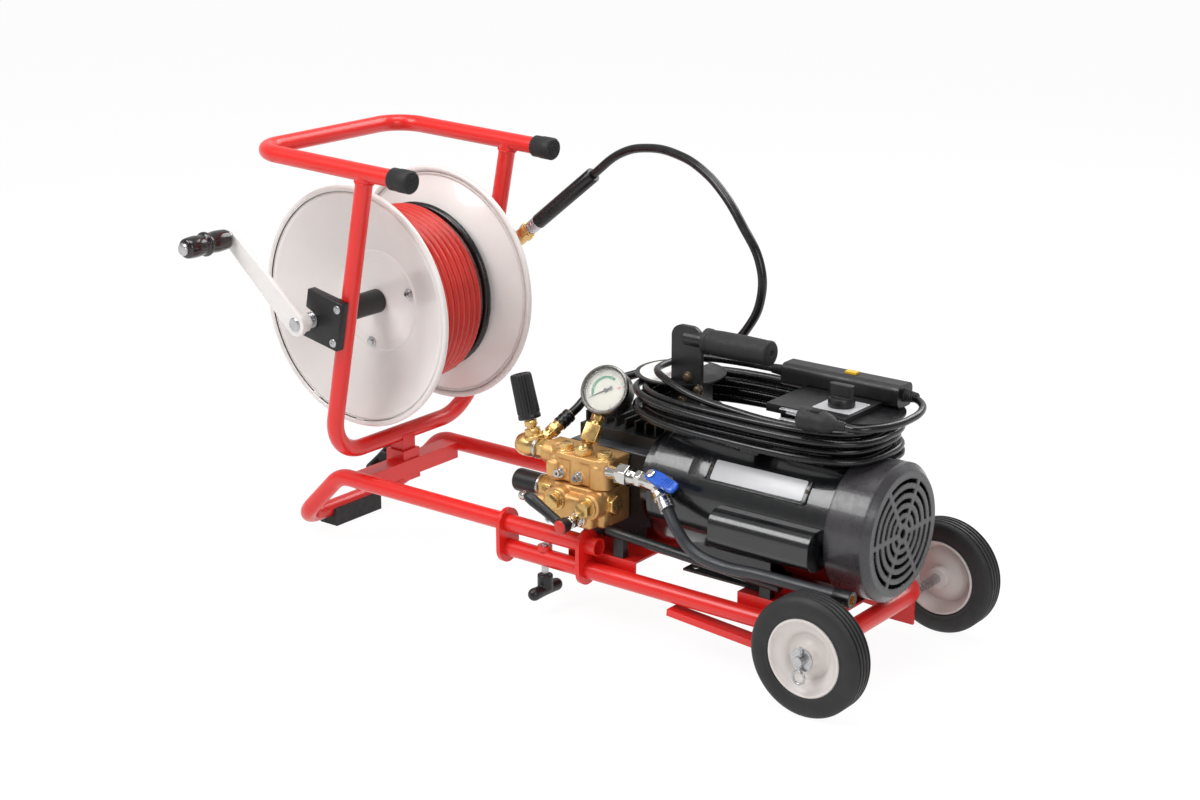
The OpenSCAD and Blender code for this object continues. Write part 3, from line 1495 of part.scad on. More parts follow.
post_knob_out = 44;
post_knob_turn = 25;

module post_knob() {
  color("#1b1b1d") place() along([-reel_x - post_knob_out, 0, post_knob_z], [1, 0, 0], post_knob_turn)
    t_knob(post_knob_out - post_side - seat_gap);
}

// Reel spool: two dished flanges with rolled rims, and a drum between their hub discs
rim_r = 4;
drum_wall = 3;
gutter_w = 10;
cone_r = flange_r - rim_r - gutter_w;
hub_y = flange_y - dish;

module reel_at() {
  translate([-reel_x, 0, reel_z]) rotate([-90, 0, 0]) children();
}

module flange() {
  bore_r = reel_shaft_r + fix_gap;
  sheet = [[bore_r, hub_y], [hubplate_r, hub_y], [cone_r, flange_y], [flange_r - rim_r, flange_y]];
  rotate_extrude($fn = round_fn) polygon(concat(
    [for (q = sheet) [q[0], q[1] + flange_t / 2]],
    [for (i = [len(sheet) - 1:-1:0]) [sheet[i][0], sheet[i][1] - flange_t / 2]]
  ));
  rotate_extrude($fn = round_fn) translate([flange_r - rim_r, flange_y]) circle(r = rim_r, $fn = small_fn);
}

module reel_spool() {
  color("#d9d6d4") place() reel_at() {
    flange();
    rotate([180, 0, 0]) flange();
    translate([0, 0, -hub_y]) ring(drum_r - drum_wall, drum_r, 2 * hub_y);
  }
}

// Jet hose: the outer layer wound as one tube over a plain core of inner layers, between the dished flanges
jet_step = 12.6;
jet_start = -64;
jet_taper = 1.2;
jet_phase = 200;
core_gap = 0.4;
core_clear = 2;
core_near_end = 66;
core_far_end = 40;
core_far_y = 17;
function jet_point(t) =
  let (a = jet_phase + 360 * t, r = wound_r - jet_taper * t)
  [r * cos(a), r * sin(a), jet_start + jet_step * t];
function core_r(z) = wound_r - jet_taper * (z - jet_start) / jet_step - jet_d / 2 - core_gap;
jet_points = [for (i = [0:rings_per_loop * jet_turns]) jet_point(i / rings_per_loop)];
echo("jet hose gap", least_gap(jet_points, 12, jet_d));

module jet_hose() {
  core_near_y = core_clear + flange_t / 2 - hub_y;
  color("#a8281f") place() reel_at() {
    swept(jet_points, [for (q = jet_points) jet_d / 2], coil_sides, [0, 0, 1]);
    rotate_extrude($fn = round_fn) polygon([
      [drum_r + seat_gap, core_near_y], [hubplate_r, core_near_y], [core_r(-core_near_end), -core_near_end],
      [core_r(core_far_end), core_far_end], [drum_r + seat_gap, core_far_y]
    ]);
  }
}

// Leader hose: from the end of the jet hose round the winding, then down to its outlet on the drum
leader_d = 12;
leader_turns = 1.5;
leader_r = 119;
leader_start_y = 48;
leader_mid_y = 54;
leader_end_y = 29;
leader_phase = 60;
leader_stay = 0.9;
leader_in = drum_r + leader_d / 2 + seat_gap;
function leader_down(t) = smooth_step((t - leader_stay) / (leader_turns - leader_stay));
function leader_point(t) =
  let (a = leader_phase + 360 * t, r = leader_r - (leader_r - leader_in) * leader_down(t))
  [r * cos(a), r * sin(a), leader_start_y + (leader_mid_y - leader_start_y) * min(1, t / leader_stay)
    - (leader_mid_y - leader_end_y) * leader_down(t)];
leader_points = [for (i = [0:rings_per_loop * leader_turns]) leader_point(i / rings_per_loop)];

module leader_hose() {
  color("#1c1c1e") place() reel_at()
    swept(leader_points, [for (q = leader_points) leader_d / 2], coil_sides, [0, 0, 1]);
}

// Reel shaft with its collars and the crank's nut
collar_shaft_r = 17;
collar_near = [hub_y + flange_t / 2 + seat_gap, upright_y - tube_r];
nut_r = 14;
nut_y = block_y + block_t + seat_gap;
nut_t = 11;
neck_ring_r = 11;
shaft_tip = 2;

module reel_shaft() {
  color("#babcbe") place() reel_at() {
    translate([0, 0, -crank_y - arm_t / 2 - shaft_tip])
      cylinder(r = reel_shaft_r, h = crank_y + arm_t / 2 + shaft_tip + swivel_y0 + swivel_len - seat_gap,
               $fn = round_fn);
    for (side = [-1, 1])
      translate([0, 0, side > 0 ? collar_near[0] : -collar_near[1]])
        cylinder(r = collar_shaft_r, h = collar_near[1] - collar_near[0], $fn = round_fn);
    translate([0, 0, -nut_y - nut_t]) cylinder(r = neck_ring_r, h = nut_t, $fn = round_fn);
    translate([0, 0, -crank_y + arm_t / 2 + seat_gap]) cylinder(r = nut_r, h = nut_t, $fn = 6);
  }
}

arm_w = 28;
crank_pin_r = 5;
pin_head_r = 8;

// Crank: a flat arm on the shaft's near end, with the bolt that the grip turns on
module crank_place() {
  translate([-reel_x, -crank_y, reel_z]) rotate([0, -crank_angle, 0]) rotate([90, 0, 0]) children();
}

module crank_arm() {
  color("#c4c6c6") place() crank_place() {
    difference() {
      union() {
        for (x = [0, crank_len])
          translate([x, 0, -arm_t / 2]) cylinder(r = arm_w / 2, h = arm_t, $fn = round_fn);
        translate([0, -arm_w / 2, -arm_t / 2]) cube([crank_len, arm_w, arm_t]);
      }
      cylinder(r = reel_shaft_r + fix_gap, h = 4 * arm_t, center = true, $fn = round_fn);
    }
    translate([crank_len, 0, 0])
      cylinder(r = crank_pin_r, h = arm_t / 2 + grip_clear + grip_len + bolt_head_t, $fn = round_fn);
    translate([crank_len, 0, arm_t / 2 + grip_clear + grip_len + seat_gap])
      cylinder(r = pin_head_r, h = bolt_head_t - seat_gap, $fn = 6);
  }
}

grip_shares = [
  [0, 0.7], [0.03, 0.95], [0.3, 1], [0.46, 0.92], [0.48, 1.12], [0.56, 1.12], [0.58, 0.92], [0.75, 1], [0.97, 0.9],
  [1, 0.65]
];
crank_grip_r = 15;

module crank_grip() {
  color("#1d1a19") place() crank_place() translate([crank_len, 0, arm_t / 2 + grip_clear])
    rotate_extrude($fn = round_fn) polygon(concat(
      [[crank_pin_r + run_gap, 0]],
      [for (s = grip_shares) [crank_grip_r * s[1], grip_len * s[0]]],
      [[crank_pin_r + run_gap, grip_len]]
    ));
}

lower_frame();
frame_plates();
axle();
axle_pins();
near_tyre();
near_hub();
far_tyre();
far_hub();
leg_near();
leg_far();
motor_shell();
end_bells();
fan_cover();
stator();
rotor_shaft();
cooling_fan();
capacitor_cover();
pump_crankcase();
plungers();
pump_head();
valve_caps();
damper_cap();
head_screws();
unloader_body();
unloader_knob();
gauge_case();
gauge_lens();
gauge_needle();
inlet_valve();
inlet_lever();
inlet_hose();
pulse_valve();
pulse_lever();
guard_bar();
handle_bracket();
carry_grip();
cord_bracket();
switch_knob();
gfci_body();
gfci_button();
power_cord();
cord_tail();
plug();
delivery_hose();
hose_fittings();
reel_cart_frame();
foot_pad();
reel_frame();
tube_caps();
bearing_blocks();
hose_swivel();
post_knob();
clamp_knob_near();
clamp_knob_far();
reel_spool();
jet_hose();
leader_hose();
reel_shaft();
crank_arm();
crank_grip();
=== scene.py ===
from math import acos, atan2, copysign, cos, radians, sin, tan, tau

import bmesh
import bpy
from mathutils import Matrix, Vector


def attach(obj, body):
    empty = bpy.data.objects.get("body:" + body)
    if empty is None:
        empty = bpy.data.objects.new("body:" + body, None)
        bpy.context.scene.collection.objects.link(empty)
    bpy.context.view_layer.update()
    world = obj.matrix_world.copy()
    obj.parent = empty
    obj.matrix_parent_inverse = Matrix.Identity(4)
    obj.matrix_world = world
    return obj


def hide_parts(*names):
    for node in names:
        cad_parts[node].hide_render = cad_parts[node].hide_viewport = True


# Looks of an electric drain jetter: a motor and plunger pump on a wheeled tube cart, with a hose reel cart at
# its front. Places are written as on the part's drawing, in millimetres from the middle of the axle and the
# ground, and pt() turns them into the frame's metres.

MM = 0.001
MICRON = 0.000001
MIDDLE = Vector((449.45, 49.1, 0))
REAR = (1, 0, 0)
FRONT = (-1, 0, 0)
NEAR = (0, -1, 0)
UP = (0, 0, 1)
SIDES = ((-1, "near"), (1, "far"))
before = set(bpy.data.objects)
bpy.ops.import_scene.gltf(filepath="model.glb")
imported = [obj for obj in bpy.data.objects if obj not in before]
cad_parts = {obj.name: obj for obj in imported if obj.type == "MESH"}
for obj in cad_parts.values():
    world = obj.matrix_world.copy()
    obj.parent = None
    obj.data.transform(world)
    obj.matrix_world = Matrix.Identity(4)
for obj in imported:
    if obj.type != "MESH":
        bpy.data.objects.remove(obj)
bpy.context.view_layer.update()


def pt(x, y, z):
    """A place on the drawing as a point of the frame."""
    return (Vector((x, y, z)) + MIDDLE) * MM


def at(x, y, z):
    """A matrix that moves to a place."""
    return Matrix.Translation((x, y, z))


def along(where, height):
    """A matrix that goes up the Z axis of a place."""
    return where @ at(0, 0, height)


def turned(degrees, axis):
    """A matrix that turns about an axis."""
    return Matrix.Rotation(radians(degrees), 4, axis)


def arc(wide, high, angles, centre=(0, 0)):
    """Places round an ellipse at some angles, in degrees."""
    return [(centre[0] + wide * cos(a), centre[1] + high * sin(a)) for a in map(radians, angles)]


def facing(place, direction, spin=0):
    """A matrix that puts its Z axis along a direction at a place."""
    d = Vector(direction).normalized()
    aim = Matrix.Rotation(atan2(d.y, d.x), 4, "Z") @ Matrix.Rotation(acos(d.z), 4, "Y")
    return at(*place) @ aim @ turned(spin, "Z")


def show(made):
    """Puts an object into the scene."""
    bpy.context.scene.collection.objects.link(made)


def smooth_step(u):
    """A soft step from 0 to 1."""
    v = min(1, max(0, u))
    return v * v * (3 - 2 * v)


# Finishes: every surface gets its colour, gloss and grain from nodes

def linear(colour):
    """A colour written in 0 to 255, as the linear colour that a shader takes."""
    return [c / 12.92 if c <= 0.04045 else ((c + 0.055) / 1.055) ** 2.4 for c in (v / 255 for v in colour)]


def feed(tree, target, values):
    """Gives a node's inputs their values; a value may be the output of another node."""
    for key, value in values.items():
        if isinstance(value, bpy.types.NodeSocket):
            tree.links.new(value, target.inputs[key])
        else:
            target.inputs[key].default_value = value


def node(tree, kind, values=None, **settings):
    """A shader node with its settings and the values of its inputs."""
    made = tree.nodes.new("ShaderNode" + kind)
    for key, value in settings.items():
        setattr(made, key, value)
    feed(tree, made, values or {})
    return made


def noise(tree, coords, scale, detail=3):
    """The value of a noise that is so many waves to the metre."""
    return node(tree, "TexNoise", {"Scale": scale, "Detail": detail, "Vector": coords}).outputs["Fac"]


def spread(tree, value, low, high, start=0.35, end=0.65):
    """A value drawn out from one range, that of a noise if none is given, to another."""
    values = {"From Min": start, "From Max": end, "To Min": low, "To Max": high, "Value": value}
    return node(tree, "MapRange", values).outputs["Result"]


def blend_colour(tree, factor, first, second):
    """Two colours mixed by a factor; a colour is three numbers or a socket."""
    first, second = (c if isinstance(c, bpy.types.NodeSocket) else (*c, 1) for c in (first, second))
    return node(tree, "Mix", {"Factor": factor, 6: first, 7: second}, data_type="RGBA").outputs[2]


def finish(name, colour, rough, mottle=0.06, metal=0, patches=30, uneven=0.06, bumps=900, grain=20, coat=0,
           edge=0.6, wear=0, worn=(200, 196, 190)):
    """A finish with a mottled colour, uneven gloss and eased edges.

    Patches of colour and bumps are counted per metre. The bumps' grain is in micrometres, and the edge in
    millimetres.
    """
    made = bpy.data.materials.new(name)
    made.use_nodes = True
    tree = made.node_tree
    coords = node(tree, "TexCoord").outputs["Object"]
    base = linear(colour)
    dark = [c * (1 - mottle) for c in base]
    light = [min(1, c * (1 + mottle)) for c in base]
    mixed = blend_colour(tree, spread(tree, noise(tree, coords, patches), 0, 1), dark, light)
    eased = node(tree, "Bevel", {"Radius": edge * MM}, samples=4).outputs["Normal"]
    if wear:
        true_normal = node(tree, "NewGeometry").outputs["Normal"]
        apart = node(tree, "VectorMath", {0: eased, 1: true_normal}, operation="DOT_PRODUCT")
        rubbed = spread(tree, apart.outputs["Value"], wear, 0, 0.86, 0.985)
        mixed = blend_colour(tree, rubbed, mixed, linear(worn))
    cloudy = noise(tree, coords, patches * 4)
    gloss = spread(tree, cloudy, max(0.02, rough - uneven), rough + uneven)
    grained = noise(tree, coords, bumps, 4)
    bump = node(tree, "Bump", {"Strength": 1, "Distance": grain * MICRON, "Height": grained, "Normal": eased})
    feed(tree, tree.nodes["Principled BSDF"], {
        "Base Color": mixed, "Roughness": gloss, "Normal": bump.outputs["Normal"], "Metallic": metal,
        "Coat Weight": coat, "Coat Roughness": 0.05})
    return made


RED = finish("red_powder_coat", (222, 34, 28), 0.32, 0.015, uneven=0.01, bumps=1500, grain=6, coat=0.2,
             edge=1)
PALE = finish("pale_grey_enamel", (224, 219, 216), 0.3, 0.012, uneven=0.015, bumps=1400, grain=4, coat=0.4,
              edge=0.8)
BLACK = finish("hammered_black_paint", (19, 20, 22), 0.22, 0.2, uneven=0.03, bumps=420, grain=200, coat=0.6,
               edge=2)
FAN_BLACK = finish("satin_black_paint", (58, 56, 59), 0.3, grain=30, coat=0.25, edge=5)
BLACK_SHEET = finish("black_sheet_paint", (20, 20, 22), 0.36, 0.2, bumps=500, grain=30, edge=0.7, wear=0.12,
                     worn=(84, 84, 88))
CASTING = finish("black_casting", (26, 27, 29), 0.48, 0.25, bumps=700, grain=80, edge=0.8, wear=0.3,
                 worn=(120, 122, 124))
BRASS_CAST = finish("cast_brass", (212, 166, 106), 0.44, 0.07, metal=0.72, patches=60, grain=60, edge=1.4)
BRASS = finish("turned_brass", (216, 178, 114), 0.28, 0.05, metal=0.85, bumps=1200, grain=10, edge=0.7,
               wear=0.25, worn=(240, 214, 156))
ZINC = finish("zinc_plate", (190, 190, 192), 0.28, 0.08, metal=1, patches=120, edge=0.5)
CHROME = finish("bright_plate", (206, 203, 198), 0.14, 0.05, metal=1)
RUBBER = finish("black_rubber", (24, 24, 25), 0.62, 0.2, bumps=1500, grain=40, edge=0.8)
TYRE = finish("tyre_rubber", (30, 30, 31), 0.58, 0.2, patches=18, bumps=1200, grain=50, edge=0.7)
PLASTIC = finish("black_plastic", (21, 21, 23), 0.4, 0.15, bumps=1600, grain=30, edge=0.9)
BAKELITE = finish("dark_moulding", (28, 20, 18), 0.16, 0.25, coat=0.5, edge=0.8)
HUB = finish("hub_grey", (214, 207, 203), 0.36, 0.03, uneven=0.02, grain=10, edge=0.8)
RED_HOSE = finish("orange_red_jacket", (190, 36, 24), 0.36, 0.1, patches=16, bumps=700, grain=40)
BLACK_HOSE = finish("black_hose_jacket", (15, 15, 17), 0.28, 0.15, bumps=600, grain=10)
GREY_HOSE = finish("grey_hose_jacket", (44, 46, 50), 0.38, 0.12, grain=60)
CORD = finish("power_cord_jacket", (14, 14, 16), 0.24, 0.15, bumps=500, grain=6)
BLUE = finish("blue_dip", (18, 84, 190), 0.3, 0.08, coat=0.3)
YELLOW = finish("yellow_button", (226, 178, 40), 0.36)
CERAMIC = finish("white_ceramic", (230, 227, 218), 0.2, 0.03)
LAMINATION = finish("stator_steel", (128, 92, 60), 0.5, 0.2, metal=0.6, patches=200)
GUNMETAL = finish("aged_bolt", (96, 84, 70), 0.42, 0.25, metal=0.8, patches=200)
LABEL = finish("bare_label", (226, 224, 220), 0.42, 0.02, edge=0.3)
SILVER = finish("bare_plate", (188, 188, 190), 0.42, 0.02, metal=0.25, uneven=0.02, bumps=1800, grain=4)


def glass(name):
    """A clear window that keeps its reflections faint."""
    made = bpy.data.materials.new(name)
    made.use_nodes = True
    tree = made.node_tree
    coords = node(tree, "TexCoord").outputs["Object"]
    smears = spread(tree, noise(tree, coords, 60), 0.02, 0.06)
    feed(tree, tree.nodes["Principled BSDF"], {
        "Roughness": smears, "Base Color": (0.97, 0.98, 0.98, 1), "Alpha": 0.08})
    return made


GLASS = glass("gauge_glass")

CAD_FINISHES = {
    RED: "lower_frame frame_plates leg_near leg_far reel_cart_frame reel_frame",
    PALE: "reel_spool crank_arm",
    BLACK: "motor_shell end_bells capacitor_cover",
    FAN_BLACK: "fan_cover",
    BLACK_SHEET: "guard_bar handle_bracket cord_bracket",
    CASTING: "pump_crankcase",
    BRASS_CAST: "pump_head",
    BRASS: "valve_caps unloader_body hose_fittings hose_swivel",
    ZINC: "axle axle_pins reel_shaft head_screws rotor_shaft",
    CHROME: "inlet_valve pulse_valve gauge_case",
    GLASS: "gauge_lens",
    LAMINATION: "stator",
    CERAMIC: "plungers",
    TYRE: "near_tyre far_tyre",
    HUB: "near_hub far_hub",
    PLASTIC: "cooling_fan damper_cap unloader_knob pulse_lever switch_knob gfci_body clamp_knob_near "
             "clamp_knob_far post_knob bearing_blocks gauge_needle",
    BAKELITE: "crank_grip",
    BLUE: "inlet_lever",
    YELLOW: "gfci_button",
    RUBBER: "carry_grip foot_pad tube_caps plug",
    CORD: "power_cord cord_tail",
    BLACK_HOSE: "delivery_hose leader_hose",
    GREY_HOSE: "inlet_hose",
    RED_HOSE: "jet_hose",
}
for look, names in CAD_FINISHES.items():
    for name in names.split():
        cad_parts[name].data.materials.clear()
        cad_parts[name].data.materials.append(look)


# Camera, at the photograph's angle

CAMERA_AT = pt(1260.1, -2207, 1137.4)
CAMERA_FORWARD = Vector((-0.58294, 0.75625, -0.29709))
CAMERA_LENS = 65.33

camera = bpy.data.objects.new("camera", bpy.data.cameras.new("camera"))
camera.data.lens = CAMERA_LENS
camera.data.sensor_width = 36
camera.location = CAMERA_AT
camera.rotation_euler = CAMERA_FORWARD.to_track_quat("-Z", "Y").to_euler()
show(camera)
bpy.context.scene.camera = camera


# Cords and hoses, along the same points as their solids. Diameters, and lengths along a hose, are in metres

def hose(name, points, diameter, body, look, replaced, resolution):
    """A round hose or cord as a curve through its points."""
    line = bpy.data.curves.new(name, "CURVE")
    line.dimensions = "3D"
    line.bevel_depth = diameter / 2
    line.bevel_resolution = 6
    line.resolution_u = resolution
    line.use_fill_caps = True
    spline = line.splines.new("BEZIER")
    spline.bezier_points.add(len(points) - 1)
    for knot, place in zip(spline.bezier_points, points):
        knot.co = place
        knot.handle_left_type = knot.handle_right_type = "AUTO"
    line.materials.append(look)
    made = bpy.data.objects.new(name, line)
    show(made)
    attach(made, body)
    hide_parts(replaced)
    return made


SWIVEL = Vector((-803.4, 182.3, 359.2))
SWIVEL_DIR = Vector((0.777, 0, 0.629)).normalized()
HOSE_FROM = 0.1403
SLEEVE_LEN = 0.13
HOSE_D = 0.0124
BRANCH_AT = pt(-494, -71.5, 213.5)
BRANCH_DIR = Vector((0.23, 0.83, 0.51)).normalized()
BRANCH_REACH = 0.0662
HOSE_ROUTE = [(-545, 182, 565), (-495, 177, 579), (-435, 166, 578), (-385, 154, 564), (-345, 144, 540),
              (-310, 136, 505), (-275, 130, 455), (-272, 128, 410), (-290, 128, 370), (-325, 130, 335),
              (-370, 130, 312), (-412, 118, 298), (-440, 85, 288), (-460, 50, 280), (-474, 14, 265)]
sleeve_start = pt(*SWIVEL) + SWIVEL_DIR * HOSE_FROM
sleeve_end = sleeve_start + SWIVEL_DIR * SLEEVE_LEN
hose_points = [sleeve_start, sleeve_end] + [pt(*p) for p in HOSE_ROUTE]
hose_points += [BRANCH_AT + BRANCH_DIR * (BRANCH_REACH + HOSE_D), BRANCH_AT + BRANCH_DIR * BRANCH_REACH]
delivery = hose("delivery_hose_tube", hose_points, HOSE_D, "chassis", BLACK_HOSE, "delivery_hose",
                10)

VALVE = Vector((-281, -90.13, 212))
VALVE_OUT = Vector((0.7, -0.35, -0.62)).normalized()
INLET_START = pt(*VALVE) + VALVE_OUT * 0.0302
FERRULE_LEN = 0.018
INLET_D = 0.0156
INLET_ROUTE = [(-232, -112, 166), (-206, -115, 145), (-170, -115, 136), (-107, -112, 136), (-48, -112, 136),
               (5, -112, 136)]
inlet_points = [INLET_START + VALVE_OUT * (FERRULE_LEN - INLET_D / 2)] + [pt(*p) for p in INLET_ROUTE]
inlet = hose("inlet_hose_tube", inlet_points, INLET_D, "chassis", GREY_HOSE, "inlet_hose", 10)

CORD_D = 0.0096
CORD_STEP = 11.5
CORD_MID = (-183.5, 13)
CORD_HALF = (181.5, 95)
CORD_Z = 281
CORD_LOOPS = 8
LAYER_LOOPS = 2
RINGS = 24
LAST_RINGS = 10
ROUND_POWER = 0.667
GFCI_AT = (-190, 72, 339)
PLUG_AT = (-78, -74, 335.4)
END_INSET = CORD_MID[1] + CORD_HALF[1] - GFCI_AT[1]
INNER_INSET = LAYER_LOOPS * CORD_STEP


def squared(v):
    """A wave drawn out towards a square, for the flat loops."""
    return copysign(abs(v) ** ROUND_POWER, v)


def cord_place(t):
    """The middle of the power cord after so many loops. It spirals out and in, and climbs between layers."""
    layer, rest = divmod(t, LAYER_LOOPS)
    if t >= CORD_LOOPS:
        inset = INNER_INSET + (END_INSET - INNER_INSET) * smooth_step((t - CORD_LOOPS) / 0.5)
    elif layer % 2 == 0:
        inset = CORD_STEP * (LAYER_LOOPS - rest)
    else:
        inset = CORD_STEP * rest
    climbs = sum(smooth_step((t - turn + 0.25) / 0.5) for turn in (2, 4, 6))
    last = (GFCI_AT[2] - CORD_Z - 3 * CORD_STEP) * smooth_step((t - CORD_LOOPS + 0.05) / 0.2)
    angle = radians(270 - 360 * t)
    return pt(CORD_MID[0] + (CORD_HALF[0] - inset) * squared(cos(angle)),
              CORD_MID[1] + (CORD_HALF[1] - inset) * squared(sin(angle)),
              CORD_Z + CORD_STEP * climbs + last)


gland_end = pt(CORD_MID[0] + 11.9, CORD_MID[1] - CORD_HALF[1] + INNER_INSET, CORD_Z)
coil_points = [gland_end] + [cord_place(i / RINGS) for i in range(RINGS * CORD_LOOPS + LAST_RINGS + 1)]
coil_points += [pt(GFCI_AT[0] - 19.2, *GFCI_AT[1:]), pt(GFCI_AT[0] - 0.1, *GFCI_AT[1:])]
coil = hose("power_cord_coil", coil_points, CORD_D, "chassis", CORD, "power_cord", 3)

TAIL_ROUTE = [(-5, 71, 338), (12, 60, 337), (26, 35, 336), (30, 0, 335), (26, -35, 335), (14, -60, 335),
              (0, -73, 335)]
tail_points = [pt(-17.9, *GFCI_AT[1:])] + [pt(*p) for p in TAIL_ROUTE] + [pt(-13.9, *PLUG_AT[1:])]
tail = hose("cord_tail_tube", tail_points, CORD_D, "chassis", CORD, "cord_tail", 10)

# Shapes: each is written on the drawing, in millimetres. add_lathe() and the others keep shapes in PARTS, and
# piece() makes one piece of all that are there and moves it into the frame

PLACE = Matrix.Scale(MM, 4) @ at(*MIDDLE)
ROUND = 64
PARTS = []


def keep(part, where):
    """Moves a shape to its place and keeps it for the next piece."""
    part.transform(where)
    PARTS.append(part)


def skin(part, rings, caps=False):
    """Faces from ring to ring, and over both ends. A ring may be a single point."""
    steps = max(len(ring) for ring in rings)
    for low, high in zip(rings, rings[1:]):
        for i in range(steps):
            j = (i + 1) % steps
            corners = [low[i % len(low)], low[j % len(low)], high[j % len(high)], high[i % len(high)]]
            part.faces.new(list(dict.fromkeys(corners)))
    if caps:
        part.faces.new(list(reversed(rings[0])))
        part.faces.new(rings[-1])


def add_lathe(profile, where, steps, closed=False):
    """Turns a profile of (radius, height) pairs about the Z axis of its place."""
    part = bmesh.new()
    angles = [tau * i / steps for i in range(steps)]
    rings = []
    for radius, height in profile:
        if radius < 1e-6:
            rings.append([part.verts.new((0, 0, height))])
        else:
            rings.append([part.verts.new((radius * cos(a), radius * sin(a), height)) for a in angles])
    skin(part, rings + rings[:1] if closed else rings)
    keep(part, where)


def add_turned(profile, where, steps=40):
    """A solid turned shape: its profile with a flat end towards the axis at both ends."""
    add_lathe([(0, profile[0][1])] + profile + [(0, profile[-1][1])], where, steps)


def add_prism(outline, low, high, where=Matrix(), bevel=0, segments=3):
    """An outline in X and Y drawn up from low to high, with eased edges."""
    part = bmesh.new()
    bottom = [part.verts.new((x, y, low)) for x, y in outline]
    top = [part.verts.new((x, y, high)) for x, y in outline]
    part.faces.new(list(reversed(bottom)))
    part.faces.new(top)
    count = len(outline)
    for i in range(count):
        j = (i + 1) % count
        part.faces.new([bottom[i], bottom[j], top[j], top[i]])
    if bevel:
        bmesh.ops.bevel(part, geom=part.edges[:], offset=bevel, segments=segments, profile=0.5,
                        affect="EDGES", clamp_overlap=True)
    keep(part, where)


def add_box(low, high, where=Matrix(), bevel=0):
    """A box between two corners, with eased edges."""
    outline = [(low[0], low[1]), (high[0], low[1]), (high[0], high[1]), (low[0], high[1])]
    add_prism(outline, low[2], high[2], where, bevel)


def rounded(low, high, radius):
    """A rectangle's outline with round corners."""
    left, right, near, far = low[0] + radius, high[0] - radius, low[1] + radius, high[1] - radius
    corners = [(right, far, 0), (left, far, 90), (left, near, 180), (right, near, 270)]
    return [place for x, y, a in corners for place in arc(radius, radius, range(a, a + 91, 15), (x, y))]


def add_hex(radius, height, where, lift=0, chamfer=0.8):
    """A hexagon with its corners turned down at both ends, as on a nut, lifted along its axis."""
    add_prism(arc(radius, radius, range(0, 360, 60)), 0, height, along(where, lift), chamfer, 2)


def add_rod(start, direction, radius, length, ease=0.6, steps=ROUND):
    """A round bar with eased ends."""
    ease = min(ease, radius / 2, length / 2)
    shoulder = [(radius - ease, 0), (radius - ease * 0.3, ease * 0.3), (radius, ease)]
    add_turned(shoulder + [(r, length - h) for r, h in reversed(shoulder)], facing(start, direction), steps)


def add_ball(centre, radius, steps=32):
    """A ball."""
    half = steps // 2
    add_lathe(arc(radius, radius, [180 * i / half - 90 for i in range(half + 1)]), at(*centre), steps)


def add_tube(points, radii, steps=12):
    """A round tube along points, with a radius for each and a flat cap at each end."""
    part = bmesh.new()
    places = [Vector(p) for p in points]
    side = None
    rings = []
    for i, place in enumerate(places):
        ahead = (places[min(i + 1, len(places) - 1)] - places[max(i - 1, 0)]).normalized()
        if side is None:
            side = ahead.orthogonal().normalized()
        side = (side - ahead * side.dot(ahead)).normalized()
        other = ahead.cross(side)
        rings.append([part.verts.new(place + radii[i] * (side * cos(a) + other * sin(a)))
                      for a in (tau * k / steps for k in range(steps))])
    skin(part, rings, caps=True)
    keep(part, Matrix())


def soft(profile, steps=4):
    """A profile drawn smoothly through its points."""
    line = [Vector(p) for p in profile]
    line = [2 * line[0] - line[1]] + line + [2 * line[-1] - line[-2]]
    made = []
    for a, b, c, d in zip(line, line[1:], line[2:], line[3:]):
        for k in range(steps):
            t = k / steps
            made.append(0.5 * (2 * b + (c - a) * t + (2 * a - 5 * b + 4 * c - d) * t * t
                               + (3 * b - a - 3 * c + d) * t ** 3))
    return [tuple(p) for p in made] + [tuple(line[-2])]


def piece(name, look, replaced=None, crease=32, body="chassis", voxel=0, rounds=0):
    """Makes a piece of the shapes in hand, on a body. A voxel size melts the shapes together as a casting."""
    bm = bmesh.new()
    for part in PARTS:
        carrier = bpy.data.meshes.new("carrier")
        part.to_mesh(carrier)
        part.free()
        bm.from_mesh(carrier)
        bpy.data.meshes.remove(carrier)
    PARTS.clear()
    bmesh.ops.remove_doubles(bm, verts=bm.verts[:], dist=1e-5)
    bmesh.ops.recalc_face_normals(bm, faces=bm.faces[:])
    bm.transform(PLACE)
    mesh = bpy.data.meshes.new(name)
    bm.to_mesh(mesh)
    bm.free()
    made = bpy.data.objects.new(name, mesh)
    show(made)
    if voxel:
        melt = made.modifiers.new("melt", "REMESH")
        melt.mode = "VOXEL"
        melt.voxel_size = voxel * MM
        ease = made.modifiers.new("ease", "SMOOTH")
        ease.iterations = rounds
        ease.factor = 0.5
        bpy.context.view_layer.update()
        melted = bpy.data.meshes.new_from_object(made.evaluated_get(bpy.context.evaluated_depsgraph_get()))
        made.modifiers.clear()
        made.data = melted
        melted.name = name
        melted.shade_smooth()
    else:
        mesh.shade_smooth()
        mesh.set_sharp_from_angle(angle=radians(crease))
    made.data.materials.clear()
    made.data.materials.append(look)
    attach(made, body)
    if replaced:
        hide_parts(replaced)


# Wheels

WHEEL_R = 76.2
WHEEL_Y = 162
HUB_R = 50
GROOVES = (-10, -3.3, 3.3, 10)
GROOVE_HALF = 1.3
GROOVE_DEEP = 2.5


